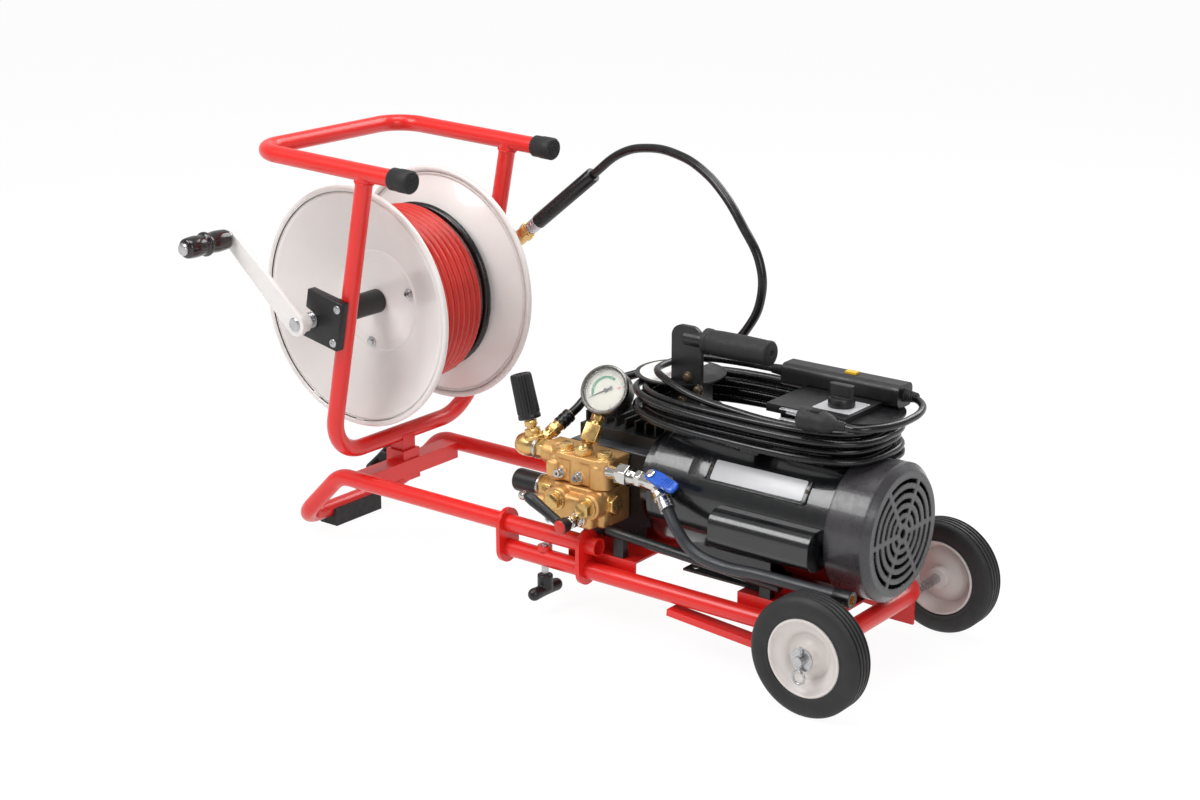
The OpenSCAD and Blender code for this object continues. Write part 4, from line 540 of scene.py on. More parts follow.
def tyre_profile():
    """Half round shoulders, a stepped sidewall and four grooves in the tread."""
    side = [(HUB_R + 0.1, 13), (HUB_R + 0.3, 16.2), (52, 17.4), (54.5, 17), (57, 17.9), (61, 18.4),
            (66, 18.3), (70, 17.6), (73.2, 16), (75.3, 13.9)]
    tread = []
    for g in GROOVES:
        tread += [(WHEEL_R, g - GROOVE_HALF - 0.5), (WHEEL_R - 0.5, g - GROOVE_HALF),
                  (WHEEL_R - GROOVE_DEEP, g - GROOVE_HALF + 0.4),
                  (WHEEL_R - GROOVE_DEEP, g + GROOVE_HALF - 0.4), (WHEEL_R - 0.5, g + GROOVE_HALF),
                  (WHEEL_R, g + GROOVE_HALF + 0.5)]
    return [(r, -h) for r, h in side] + tread + list(reversed(side))


def hub_profile():
    """A dished disc with a rolled lip and a raised middle."""
    front = soft([(HUB_R, 12), (HUB_R, 15.6), (48.6, 17.2), (46.6, 16.8), (44.4, 13.2), (41, 10.4), (35, 8.4),
                  (30.5, 5.4), (28, 1.8), (24, 0.6), (19, 2.4), (15.4, 5.6), (14, 10)], 4)
    return [(HUB_R, -16), (47, -16.6), (45, -12), (38, 3), (28, -4), (14, -5), (14, -19.9),
            (6.5, -20), (6.5, 17)] + [(13, 17.2), (14, 16.4)] + list(reversed(front)) + [(HUB_R, 12)]


def wheels():
    """Tyres and hubs, each on its own body."""
    for side, word in SIDES:
        where = facing((0, side * WHEEL_Y, WHEEL_R), (0, side, 0))
        add_lathe(tyre_profile(), where, 120, closed=True)
        piece(f"{word}_tyre_rubber", TYRE, f"{word}_tyre", 40, body=f"wheel_{word}")
        add_lathe(hub_profile(), where, 96, closed=True)
        piece(f"{word}_hub_disc", HUB, f"{word}_hub", 50, body=f"wheel_{word}")


wheels()


# Reel

REEL_AT = (-803.4, 0, 359.2)
FLANGE_Y = 88
FLANGE_R = 171.7
BEAD_R = 4.3
HUB_DISC_R = 73
HUB_FACE = 43.25
DISH_R = 157.7
DRUM_R = 60
BOLTS_R = 63.5
JET_D = 0.012
JET_TURNS = 8
JET_PHASE = 200
JET_R = 130
JET_TAPER = 1.2
JET_START = -64
JET_STEP = 12.6
LEADER_TURNS = 1.5
LEADER_PHASE = 60
LEADER_R = 119
LEADER_IN = 66.3
LEADER_START = 48
LEADER_STEP = 6
LEADER_BACK = 25
LEADER_FLAT = 0.9


# The reel's own frame: Z along its shaft, away from the crank
REEL = at(*REEL_AT) @ turned(-90, "X")
# Turns that point Z outwards on the near and the far side
OUTWARD = {-1: turned(180, "X"), 1: turned(0, "X")}


def flange_profile():
    """A dished sheet with a flat hub disc, a pressed line, a gutter and a rolled rim, seen from outside."""
    hub = HUB_FACE - FLANGE_Y
    bead = arc(BEAD_R, BEAD_R, range(150, -211, -15), (FLANGE_R - BEAD_R, 0.6))
    face = [(9.8, hub), (69, hub), (70.2, hub + 0.7), (71.8, hub + 0.7), (HUB_DISC_R, hub), (75, hub + 0.8)]
    gutter = soft([(152, -1.8), (156.5, 0.6), (159.5, 1.2), (161.6, 0.2), (162.6, -1.2)], 3)
    back = [(161, -3), (DISH_R, -1.6), (HUB_DISC_R, hub - 2.4), (9.8, hub - 2.5)]
    return face + gutter + bead + back


def reel():
    """The spool with its bolts, and the shaft with its black collars."""
    for side in (-1, 1):
        lean = at(0, 0, side * FLANGE_Y) @ OUTWARD[side]
        add_lathe(flange_profile(), REEL @ lean, 128, closed=True)
    add_lathe([(DRUM_R, -HUB_FACE), (DRUM_R, HUB_FACE)], REEL, 96)
    piece("reel_spool_sheet", PALE, "reel_spool", 34, body="reel")

    for side in (-1, 1):
        for angle in (-17.7, -137.7, 102.3):
            spot = REEL @ turned(angle, "Z") @ at(BOLTS_R, 0, 0)
            out = spot @ OUTWARD[side] @ at(0, 0, HUB_FACE)
            add_turned([(7.5, 0), (7.5, 1.2), (6.8, 1.6)], out, 32)
            add_hex(5.6, 4, out, 1.5)
    piece("reel_bolts", ZINC, body="reel")

    for side in (-1, 1):
        out = REEL @ OUTWARD[side]
        add_lathe([(9.6, 43.6), (15.6, 43.6), (17, 44.8), (17, 134), (15.8, 135.3), (9.6, 135.3)], out, 48)
    piece("reel_collars", PLASTIC, body="reel")
    add_turned([(8.2, -209), (9.5, -207.6), (9.5, 193.6), (8.4, 194.6)], REEL, 48)
    ridges = []
    for i in range(5):
        low = -185.4 + i * 2.2
        ridges += [(10.4, low), (11.2, low + 0.5), (11.2, low + 1.6), (10.4, low + 2.1)]
    add_lathe([(9.4, -185.4)] + ridges + [(9.4, -174.4)], REEL, 48)
    for spin in (35, 215):
        spot = REEL @ turned(spin, "Z") @ at(16.6, 0, -118)
        add_turned([(4.2, 0), (4.2, 2), (2.4, 2.2), (2, 1)], spot @ turned(90, "Y"), 6)
    piece("reel_shaft_bar", ZINC, "reel_shaft", body="reel")
    add_hex(14, 11, REEL, -196.4, 1)
    piece("crank_nut", PALE, body="reel")


def jet_course(t):
    """The jet hose's radius and place along the shaft after so many turns."""
    return JET_R - JET_TAPER * t, JET_START + JET_STEP * t


def leader_course(t):
    """The leader hose's course: a flat turn, and then down to the drum."""
    down = smooth_step((t - LEADER_FLAT) / (LEADER_TURNS - LEADER_FLAT))
    height = LEADER_START + LEADER_STEP * min(1, t / LEADER_FLAT) - LEADER_BACK * down
    return LEADER_R - (LEADER_R - LEADER_IN) * down, height


def winding(turns, phase, course):
    """Points round the reel along a course."""
    points = []
    for i in range(int(RINGS * turns) + 1):
        t = i / RINGS
        r, height = course(t)
        angle = radians(phase + 360 * t)
        points.append(PLACE @ REEL @ Vector((r * cos(angle), r * sin(angle), height)))
    return points


def wound_hose():
    """The jet hose's outer layer over its inner turns, and the leader hose."""
    jet = winding(JET_TURNS, JET_PHASE, jet_course)
    hose("jet_hose_winding", jet, JET_D, "reel", RED_HOSE, "jet_hose", 3)
    outline = [(DRUM_R + 0.3, -38.8), (HUB_DISC_R, -38.8), (116, -63)]
    for i in range(JET_TURNS):
        outline += arc(5.4, 6.2, range(-80, 81, 20), (117.6 - JET_TAPER * i, -57.7 + JET_STEP * i))
    top, foot = Vector((108, 38.5)), Vector((DRUM_R + 0.3, 17))
    for i in range(5):
        outline += arc(5, 2.4, range(20, 161, 20), top.lerp(foot, (i + 0.5) / 5))
    outline.append(tuple(foot))
    add_lathe(outline, REEL, 96, closed=True)
    piece("jet_hose_inner_turns", RED_HOSE, crease=60, body="reel")
    leader = winding(LEADER_TURNS, LEADER_PHASE, leader_course)
    hose("leader_hose_winding", leader, JET_D, "reel", BLACK_HOSE, "leader_hose", 3)


reel()
wound_hose()

CRANK_Y = 203
CRANK_LEN = 159
CRANK_ANGLE = 140
ARM_HALF_T = 4


# The crank's own frame: X along the arm, Z out towards the grip
CRANK = at(REEL_AT[0], -CRANK_Y, REEL_AT[2]) @ turned(-CRANK_ANGLE, "Y") @ turned(90, "X")


def crank():
    """A tapered arm, its bolt and washer, and the turned grip."""
    wide, slim = 16.5, 11.5
    outline = arc(wide, wide, range(94, 267, 8)) + arc(slim, slim, range(-86, 87, 8), (CRANK_LEN, 0))
    add_prism(outline, -ARM_HALF_T + 0.4, ARM_HALF_T - 0.4, CRANK, 1.6)
    piece("crank_arm_plate", PALE, "crank_arm", 40, body="reel")
    end = CRANK @ at(CRANK_LEN, 0, 0)
    add_turned([(10.6, 3), (10.6, 5.4), (9.6, 6.2), (5, 6.4), (5, 86)], end)
    add_lathe([(0, 83.8), (8.4, 83.8), (8.8, 84.6), (8.8, 86.4), (7.6, 88.6), (4, 89.4), (0, 89.5)], end, 40)
    piece("crank_bolt", ZINC, body="reel")
    shares = [(0, 0.72), (0.02, 0.9), (0.1, 0.97), (0.28, 1), (0.42, 0.93), (0.465, 0.95), (0.485, 1.1),
              (0.52, 1.14), (0.555, 1.1), (0.575, 0.95), (0.62, 0.93), (0.75, 1), (0.9, 0.97), (0.975, 0.88),
              (1, 0.66)]
    bore, low, tall, wide = 5.1, 7.5, 76, 15
    profile = [(bore, low)] + soft([(wide * r, low + tall * s) for s, r in shares], 3) + [(bore, low + tall)]
    add_lathe(profile, end, 48, closed=True)
    piece("crank_grip_turned", BAKELITE, "crank_grip", 50, body="crank_handle")


crank()

LEAN = 11.43
BLOCK_LOW = (-14.5, 159.8, -29)
BLOCK_HIGH = (51, 173.9, 41)


def bearing_blocks():
    """Moulded blocks outside the uprights, open to the front for the shaft, each with two screws."""
    lean = at(*REEL_AT) @ turned(LEAN, "Y")
    shaft = 11.4
    throat = arc(shaft, shaft, range(90, -91, -15))
    outline = [(BLOCK_LOW[0], -13.8), (BLOCK_LOW[0], BLOCK_LOW[2]), (BLOCK_HIGH[0], BLOCK_LOW[2]),
               (BLOCK_HIGH[0], BLOCK_HIGH[2]), (BLOCK_LOW[0], BLOCK_HIGH[2]), (BLOCK_LOW[0], 13.8)] + throat
    upright = lean @ turned(90, "X")
    for side in (-1, 1):
        add_prism(outline, *sorted((-side * BLOCK_LOW[1], -side * BLOCK_HIGH[1])), upright, 1.8)
    piece("bearing_block_mouldings", PLASTIC, "bearing_blocks", body="reel_cart")
    for side in (-1, 1):
        for z in (-18.5, 30.5):
            spot = lean @ at(43, side * BLOCK_HIGH[1], z) @ facing((0, 0, 0), (0, side, 0))
            add_lathe([(0, -1), (6, -1), (6, 0.6), (5.2, 1.6), (3, 2.3), (0, 2.5)], spot, 32)
            for spin in (20, 110):
                add_box((-3.2, -0.6, 2), (3.2, 0.6, 2.7), spot @ turned(spin, "Z"))
    piece("bearing_block_screws", ZINC, body="reel_cart")


bearing_blocks()


# Push handle and clamp screws

HANDLE_OPEN = (-648, 568.2)
HANDLE_TILT = 1.95
TOP_X = -719.5
UPRIGHT_Y = 147.4
WELD_STEPS = 72
WELD_RIPPLES = 18


def handle_height(x):
    """The push handle's height along the machine."""
    return HANDLE_OPEN[1] - (x - TOP_X) * tan(radians(HANDLE_TILT))


def handle_caps():
    """Rubber caps with a lip and moulded rings on their ends."""
    ahead = Vector((1, 0, -tan(radians(HANDLE_TILT)))).normalized()
    x = HANDLE_OPEN[0]
    profile = [(12.2, -22), (14.6, -22), (15.2, -21), (15.2, -9), (15.8, -8.2), (15.8, 9.2), (14.6, 11.2),
               (12.6, 11.9)]
    for r in (11, 8, 5, 2.6):
        profile += [(r + 0.7, 11.9), (r + 0.3, 10.9), (r - 0.3, 10.9), (r - 0.7, 11.9)]
    for side in (-1, 1):
        add_lathe(profile + [(0, 11.9)], facing((x, side * UPRIGHT_Y, handle_height(x)), ahead), 48)
    piece("handle_cap_rubbers", RUBBER, "tube_caps", 40, body="reel_cart")


def t_knob(name, body, where, stem):
    """A T knob: a steel stem, a collar and a crossbar with round ends."""
    bar, half, collar = 8.8, 23, 10.5
    cross = [(0, y, 0) for y in (-half, -half / 2, 0, half / 2, half)]
    add_tube([where @ Vector(p) for p in cross], [bar, bar * 0.94, bar * 0.92, bar * 0.94, bar], 24)
    for y in (-half, half):
        add_ball(where @ Vector((0, y, 0)), bar)
    start = where @ Vector((0, 0, 0))
    axis = (where.to_3x3() @ Vector(UP)).normalized()
    add_rod(start, axis, collar, 22, 1)
    piece(name + "_t", PLASTIC, name, voxel=0.9, rounds=4, body=body)
    add_rod(start + axis * 18, axis, 4.9, stem - 18)
    piece(name + "_t_stem", ZINC, body=body)


def knobs():
    """The two clamp screws and the post screw."""
    for side, word in SIDES:
        t_knob(f"clamp_knob_{word}", f"clamp_screw_{word}", at(-450.2, side * 108, 30.2), 65.8)
    t_knob("post_knob", "post_screw", at(-847.4, 0, 104) @ turned(90, "Y") @ turned(25, "Z"), 31.2)


def welds():
    """Rippled beads where the uprights meet the push handle."""
    lean = Vector((sin(radians(LEAN)), 0, cos(radians(LEAN))))
    angles = [tau * i / WELD_STEPS for i in range(WELD_STEPS + 1)]
    ripples = [sin(WELD_RIPPLES * a) for a in angles]
    for side in (-1, 1):
        foot = Vector((TOP_X, side * UPRIGHT_Y, handle_height(TOP_X))) - lean * 13.4
        turn = facing(foot, lean)
        rows = [(12.2 + 0.35 * ripple, a) for ripple, a in zip(ripples, angles)]
        add_tube([turn @ Vector((r * cos(a), r * sin(a), 0)) for r, a in rows],
                 [1.5 + 0.25 * ripple for ripple in ripples], 8)
    piece("reel_cart_welds", RED, body="reel_cart")


handle_caps()
knobs()
welds()


# Pump: the head, its brass fittings, the unloader, the gauge and the valves

BARE_IRON = finish("bare_iron", (116, 119, 124), 0.42, 0.12, metal=0.8, patches=90, bumps=1400)
STEEL = finish("brushed_steel", (128, 126, 122), 0.3, 0.05, metal=1, bumps=1800, grain=6)
DIAL = finish("dial_face", (206, 203, 190), 0.5, 0.02, edge=0.2)
GREEN = finish("dial_green", (46, 128, 92), 0.5, 0.04, edge=0.2)
SCARLET = finish("signal_red", (196, 44, 30), 0.36, 0.05)
INK = finish("dial_ink", (14, 14, 15), 0.5, 0.05, edge=0.2)
HEAD_BACK = -43.3
HEAD_SEAM = (184.4, 185.2)
CAP_Y = -85
CAPS_X = (-431.3, -367.6)
RINGS_X = (-431.3, -400.7)
RINGS_Z = 197.5
# Plugs on the near side: place, radius of the boss and reach of the hexagon
PLUGS = ((-423.1, 17, 9), (-371.2, 17.5, 11.8))
PLUGS_Z = 166
NIPPLE_AT = (-458, -107.4, 155.5)
GAUGE_FOOT = Vector((-401.84, CAP_Y, 225))
GAUGE_UP = Vector((0.032, 0.548, 0.835)).normalized()
GAUGE_AT = GAUGE_FOOT + GAUGE_UP * 87.4
GAUGE_TILT = radians(33)
GAUGE_FACE = (0.156, -cos(GAUGE_TILT), sin(GAUGE_TILT))
NEEDLE_REST = 300
DIAL_TOP = 8


def add_fluted(profile, where, flutes, deep, steps=160):
    """A turned shape with flutes. Each row has a radius, a height and a share of the flutes' depth."""
    part = bmesh.new()
    rings = []
    for radius, height, share in profile:
        ring = []
        for i in range(steps):
            angle = tau * i / steps
            r = radius - deep * share * (0.5 - 0.5 * cos(flutes * angle)) ** 2
            ring.append(part.verts.new((r * cos(angle), r * sin(angle), height)))
        rings.append(ring)
    skin(part, rings, caps=True)
    keep(part, where)


def column(x, y, radius, low, high):
    """An upright round column with a domed top."""
    top = high - radius * 0.5
    dome = arc(radius, radius * 0.5, range(0, 91, 15), (0, top))
    add_lathe([(0, low), (radius, low)] + dome[:-1] + [(0, high)], at(x, y, 0), 40)


def pump_head():
    """The head's two castings, with a seam between them."""
    block = [(-475, HEAD_BACK), (-357.1, HEAD_BACK), (-357.1, -95), (-362, -100), (-441, -100), (-475, -68)]
    add_prism(block, 133.6, HEAD_SEAM[0], bevel=4)
    add_box((-446, -117.6, 134), (-366, -96, 176), bevel=6)
    add_box((-440, -103, 168), (-360, -90, HEAD_SEAM[0]), bevel=3)
    for x, r, _ in PLUGS:
        add_rod((x, -92, PLUGS_Z), NEAR, r, 25.6, 3)
    for x in (-438, -404):
        column(x, -105, 11.5, 134, 160)
    add_rod((-440, *NIPPLE_AT[1:]), FRONT, 9.5, 19, 1)
    piece("pump_head_lower", BRASS_CAST, "pump_head", voxel=1, rounds=5)
    block = [(-473, HEAD_BACK), (-359, HEAD_BACK), (-359, -93), (-366, -97), (-440, -97), (-473, -62)]
    add_prism(block, HEAD_SEAM[1], 220, bevel=3)
    plate = [(-475, HEAD_BACK), (-357.1, HEAD_BACK), (-357.1, -95), (-364, -100), (-438, -100), (-475, -64)]
    add_prism(plate, 216.5, 225, bevel=2.4)
    for x, y, r in ((-441, -87, 14), (-407, -89, 12.5), (-372, -86, 16.5)):
        column(x, y, r, HEAD_SEAM[1], 222)
    add_box((-452, -105.5, 189), (-432, -92, 213), bevel=5)
    for x in RINGS_X:
        add_rod((x, -88, RINGS_Z), NEAR, 8.5, 12, 1.5)
    for x in CAPS_X:
        add_rod((x, CAP_Y, 220), UP, 14, 6.4, 1.5)
    add_rod((-455, -71.5, 211), FRONT, 15.5, 20, 2)
    piece("pump_head_upper", BRASS_CAST, voxel=1, rounds=5)


def brass_fittings():
    """Caps and plugs on the head, and the gauge's stem with its square elbow block."""
    for x in CAPS_X:
        where = at(x, CAP_Y, 226)
        add_turned([(12.6, 0), (12.6, 1.4), (12, 2.2)], where)
        add_hex(10.6, 7.6, where, 1.2, 1)
    foot = at(*GAUGE_FOOT)
    add_hex(13.2, 9, foot, 0, 1)
    add_lathe([(0, 8), (10.8, 8.6), (10.6, 10.6), (8.4, 13), (7.6, 16), (0, 16)], foot, 40)
    stem = facing(GAUGE_FOOT, GAUGE_UP)
    add_turned([(6, 6), (6, 55.8)], stem, 32)
    add_box((-10.6, -10.6, 17), (10.6, 10.6, 41), stem @ turned(24, "Z"), 1.4)
    add_turned([(8.8, 40), (8.8, 43.6), (7.4, 44.6)], stem, 32)
    add_hex(9.6, 8.4, stem, 46, 0.9)
    for x, _, reach in PLUGS:
        where = facing((x, -117.4, PLUGS_Z), NEAR)
        add_turned([(13.6, 0), (14, 0.6), (14, 2.6), (13.2, 3.4)], where)
        add_hex(11.8, reach, where, 2.2, 1)
    where = facing((-357.2, -83.1, 164.8), REAR)
    add_turned([(15.6, 0), (15.6, 2.4), (14.6, 3.2)], where)
    add_hex(13.6, 6.4, where, 2.6, 1)
    where = facing((-474.9, -71.6, 160.5), FRONT)
    add_hex(16, 22, where, -15.6, 1)
    piece("pump_brass_fittings", BRASS, "valve_caps")
    add_turned([(15.9, 6.2), (15.9, 9.4), (15, 10)], where, 48)
    for x in RINGS_X:
        add_turned([(7.6, -0.6), (7.6, 0.7), (6.8, 1.1)], facing((x, -100, RINGS_Z), NEAR), 32)
    piece("pump_zinc_rings", ZINC)
    add_lathe(soft([(0, 9.6), (14.8, 9.6), (15.7, 10.6), (15.8, 20), (15.8, 44), (15.4, 48.6), (13.4, 50.6),
                    (9, 51.2), (0, 51.3)], 3), where, 56)
    piece("damper_shell", PLASTIC, "damper_cap", 50)


UNLOADER = Vector((-494, -71.6, 213.5))
UNLOADER_UP = Vector((-0.26, 0, 0.966)).normalized()


def unloader():
    """The unloader's turned body, its branch to the delivery hose and the fluted pressure knob."""
    across = facing(UNLOADER - Vector((20, 0, 0)), REAR)
    add_lathe(soft([(0, -11), (7, -10), (12.4, -6.6), (15.4, 0), (15.9, 8), (15.2, 16), (13, 21)], 4)
              + [(12, 22), (12, 24), (0, 24)], across, 56)
    add_hex(13.8, 14, across, 28, 0.9)
    up = facing(UNLOADER, UNLOADER_UP)
    add_turned([(10, 0), (10, 9.4), (12.8, 10.2), (13.2, 11), (13.2, 14), (12.6, 14.8), (10.4, 15.2),
                (10, 16), (10, 17)], up, 48)
    add_hex(11.4, 8.6, up, 16.6, 0.9)
    add_turned([(6.4, 25), (6.4, 28.4)], up, 32)
    add_hex(9.4, 8, up, 28.2, 0.8)
    add_turned([(5, 36), (5, 46)], up, 24)
    branch = facing(UNLOADER, BRANCH_DIR)
    add_turned([(8.8, 0), (8.8, 18), (7.6, 19), (7.6, 30), (8.4, 31), (8.4, 44)], branch)
    add_hex(11.2, 9, branch, 13, 0.9)
    add_hex(10.8, 11, branch, 27, 0.9)
    piece("unloader_turned_body", BRASS, "unloader_body")
    add_turned([(15.2, 23.6), (15.6, 24.2), (15.6, 27.4), (15, 28)], across, 48)
    piece("unloader_washer", ZINC)
    rows = [(11.4, 0, 0), (14.8, 0.4, 0), (15.4, 1.2, 0), (15.4, 5, 0), (14.8, 6.2, 0), (14.8, 7.4, 0.3),
            (15.4, 9, 1), (14.6, 57.6, 1), (14.1, 60.2, 0.8), (13, 61.5, 0.2), (11.8, 61.8, 0),
            (9.8, 61.6, 0), (9.2, 60.2, 0), (0.4, 60.2, 0)]
    add_fluted(rows, facing(UNLOADER + UNLOADER_UP * 38.05, UNLOADER_UP), 20, 1.5)
    piece("unloader_fluted_knob", PLASTIC, "unloader_knob", 40, body="pressure_knob")


def dial_strip(where, inner, outer, start, end, steps=36):
    """A flat strip round part of the dial."""
    angles = [start + (end - start) * i / steps for i in range(steps + 1)]
    outline = arc(outer, outer, angles) + arc(inner, inner, reversed(angles))
    add_prism(outline, DIAL_TOP, DIAL_TOP + 0.15, where)


def gauge():
    """The gauge's case with a rolled bezel, its marked dial and its needle."""
    turn = facing(GAUGE_AT, GAUGE_FACE)
    add_turned([(30.6, -14), (32, -13.2), (32.4, -11.8), (32.4, 5.4), (33.6, 6), (33.9, 6.8), (33.9, 13),
                (33.2, 14.6), (31.6, 15.4), (29.8, 14.9), (28.9, 13.4), (28.7, 12), (28.7, 7.9)], turn, 96)
    piece("gauge_steel_case", STEEL, "gauge_case")
    add_turned([(28.6, 7.8), (28.6, 8)], turn, 72)
    piece("gauge_dial", DIAL)
    rest = turn @ turned(NEEDLE_REST, "Z")
    dial_strip(rest, 16.4, 20.6, -4, -150)
    piece("gauge_green_band", GREEN)
    dial_strip(rest, 16.4, 20.6, -188, -196, 6)
    dial_strip(rest, 22.4, 26.6, -190, -192.4, 4)
    piece("gauge_red_marks", SCARLET)
    for i in range(31):
        angle = -270 * i / 30
        inner, half = (21.6, 0.9) if i % 5 == 0 else (23.8, 0.55)
        dial_strip(rest, inner, 26.4, angle - half, angle + half, 2)
    piece("gauge_ticks", INK)
    add_prism([(-9.6, -3), (-2.6, -1), (22.6, -0.3), (22.6, 0.3), (-2.6, 1), (-9.6, 3)], 8.6, 9.3, rest)
    add_lathe([(0, 8.1), (2.8, 8.1), (2.9, 9.8), (2.2, 10.4), (0, 10.5)], rest, 32)
    piece("gauge_needle_pointer", INK, "gauge_needle", body="needle")


VALVE_STEM = Vector((0, -0.6, 0.8))
LEVER_SPIN = 76


def inlet_valve():
    """The plated ball valve with its nuts and bosses, and the blue wing lever."""
    line = facing((-356.9, VALVE.y, VALVE.z), REAR)
    add_lathe([(0, 0), (9.8, 0), (9.8, 15), (10.4, 16), (10.4, 35), (9.9, 37), (9.9, 40), (9.2, 41),
               (9.2, 50), (10.4, 51), (10.4, 58), (10.9, 60), (11.8, 66), (12.2, 76), (11.4, 83), (8.6, 88),
               (6, 89.4), (0, 89.6)], line, 56)
    add_hex(15.2, 17, line, 17, 1)
    add_hex(12.2, 9, line, 46, 1)
    stem = facing(VALVE, VALVE_STEM)
    add_lathe([(0, 4), (9.2, 6), (8.4, 10), (7, 11), (7, 12.9), (4, 12.9), (4, 20), (0, 20)], stem, 40)
    add_hex(6.2, 4, stem, 18.2, 0.5)
    out = facing(VALVE, VALVE_OUT)
    add_lathe([(0, 4), (11.2, 8), (10.4, 12), (9.7, 13), (9.7, 29.9), (0, 29.9)], out, 48)
    add_hex(12.4, 10, out, 14, 0.9)
    piece("inlet_ball_valve", CHROME, "inlet_valve", 40)
    where = facing(VALVE + VALVE_STEM * 13.05, VALVE_STEM, LEVER_SPIN)
    wing = [(-9, -5), (-4, -8.4), (6, -8.4), (16, -7), (26, -7.6), (38, -9), (44, -7), (45.6, 0),
            (44, 7), (38, 9), (26, 7.6), (16, 7), (6, 8.4), (-4, 8.4), (-9, 5)]
    add_prism(wing, 0, 6.4, where, 2.4)
    for x in (24, 28, 32, 36):
        add_box((x - 0.9, -5.6, 5.6), (x + 0.9, 5.6, 7.6), where, 0.6)
    piece("inlet_wing_lever", BLUE, "inlet_lever", 40, body="supply_lever")


PULSE = Vector((-384.14, -145.35, 149))
PULSE_ARM = Vector((-0.9, 0, 0.436)).normalized()


def pulse_valve():
    """The pulse valve's nut and its lever with a red cap, and the quick nipple beside it."""
    where = facing((PULSE.x, -118.2, PULSE.z), NEAR)
    add_turned([(7, 0), (7, 27), (4, 27.2), (4, 40)], where)
    add_turned([(11, 0), (11, 3), (10, 4), (9.6, 6)], where)
    add_hex(9.6, 10, where, 12, 0.9)
    side = facing(NIPPLE_AT, FRONT)
    barbs = [(6.6 + 0.4 * (i % 2), 9 + i * 1.2) for i in range(10)]
    tip = [(6.8, 22), (5.6, 23), (5.6, 26), (6.6, 27), (6.6, 31), (5, 34), (3.2, 34), (3.2, 20), (0, 20)]
    add_lathe([(0, 0), (8.4, 0), (8.4, 4), (6.6, 5), (6.6, 8), (7, 8.6)] + barbs + tip, side, 48)
    piece("pulse_plated_parts", CHROME, "pulse_valve", 40)
    add_rod(PULSE, NEAR, 10, 14, 1.5)
    start = PULSE + Vector((0, -7, 0))
    shares = [(0, 6.4), (0.25, 6.4), (0.5, 7), (0.78, 7.9), (0.9, 7.6), (0.97, 5.6), (1, 3)]
    add_tube([start + PULSE_ARM * 69 * s for s, r in shares], [r for s, r in shares], 28)
    piece("pulse_lever_arm", PLASTIC, "pulse_lever", voxel=0.7, rounds=6,
          body="pulse_handle")
    add_lathe(soft([(0, 16.6), (5, 16.2), (8, 15), (9, 13.4), (9.2, 11)], 3), facing(PULSE, NEAR), 40)
    piece("pulse_lever_cap", SCARLET, crease=60, body="pulse_handle")


pump_head()
brass_fittings()
unloader()
gauge()
inlet_valve()
pulse_valve()


# Motor, its top and the cord's ends

MOTOR_Z = 187.5


def on_motor(tilt):
    """A frame on the motor's axis whose Z axis leans from upright towards the near side."""
    return at(0, 0, MOTOR_Z) @ turned(tilt, "X")


def motor_plates():
    """Pads on the shell, a bare name plate, the handle bracket's bolts and the crankcase's top plate."""
    lean = on_motor(52)
    add_prism(rounded((-214, -17), (-68, 17), 4), 78, 84.6, lean, 1.4)
    add_prism(rounded((-244, -14), (-216, 14), 4), 78, 84.2, lean, 1.4)
    piece("motor_pads", BLACK)
    add_prism(rounded((-209, -13.5), (-73, 13.5), 2), 84.5, 85.3, lean, 0.25)
    piece("motor_blank_plate", SILVER)
    for x in (-212, -70.5):
        add_lathe([(0, 84), (2.6, 84), (2.4, 85.4), (1.4, 86), (0, 86.1)], lean @ at(x, 0, 0), 20)
    for x, y, z in ((-295, -3.4, 330), (-279, -3.4, 315), (-304, -3.4, 298)):
        where = facing((x, y, z), NEAR)
        add_turned([(8, -1), (8, 0.8)], where, 32)
        add_lathe(soft([(6.6, 0.6), (6.4, 2.6), (5.2, 4.4), (3, 5.4), (0.01, 5.7)], 3), where, 32)
    piece("bracket_bolts", GUNMETAL)
    add_box((-455, -42.4, 223.6), (-329, -11, 225.4), bevel=0.6)
    piece("crankcase_top_plate", BARE_IRON)


def carry_grip():
    """A moulded grip with a collar, a slight swell and a dimple in its end."""
    add_lathe([(10.2, 0), (15.8, 0), (17, 1), (17, 7), (16.2, 8.2), (15.6, 9.4), (16.2, 12), (16.8, 24),
               (17, 50), (16.8, 76), (16.4, 92), (16.8, 95), (16.6, 98), (15.2, 99.6), (13, 100), (4.6, 100),
               (3.8, 98.6), (0, 98.4)], facing((-270, 0, 382), REAR), 56)
    piece("carry_grip_moulding", RUBBER, "carry_grip", 40)


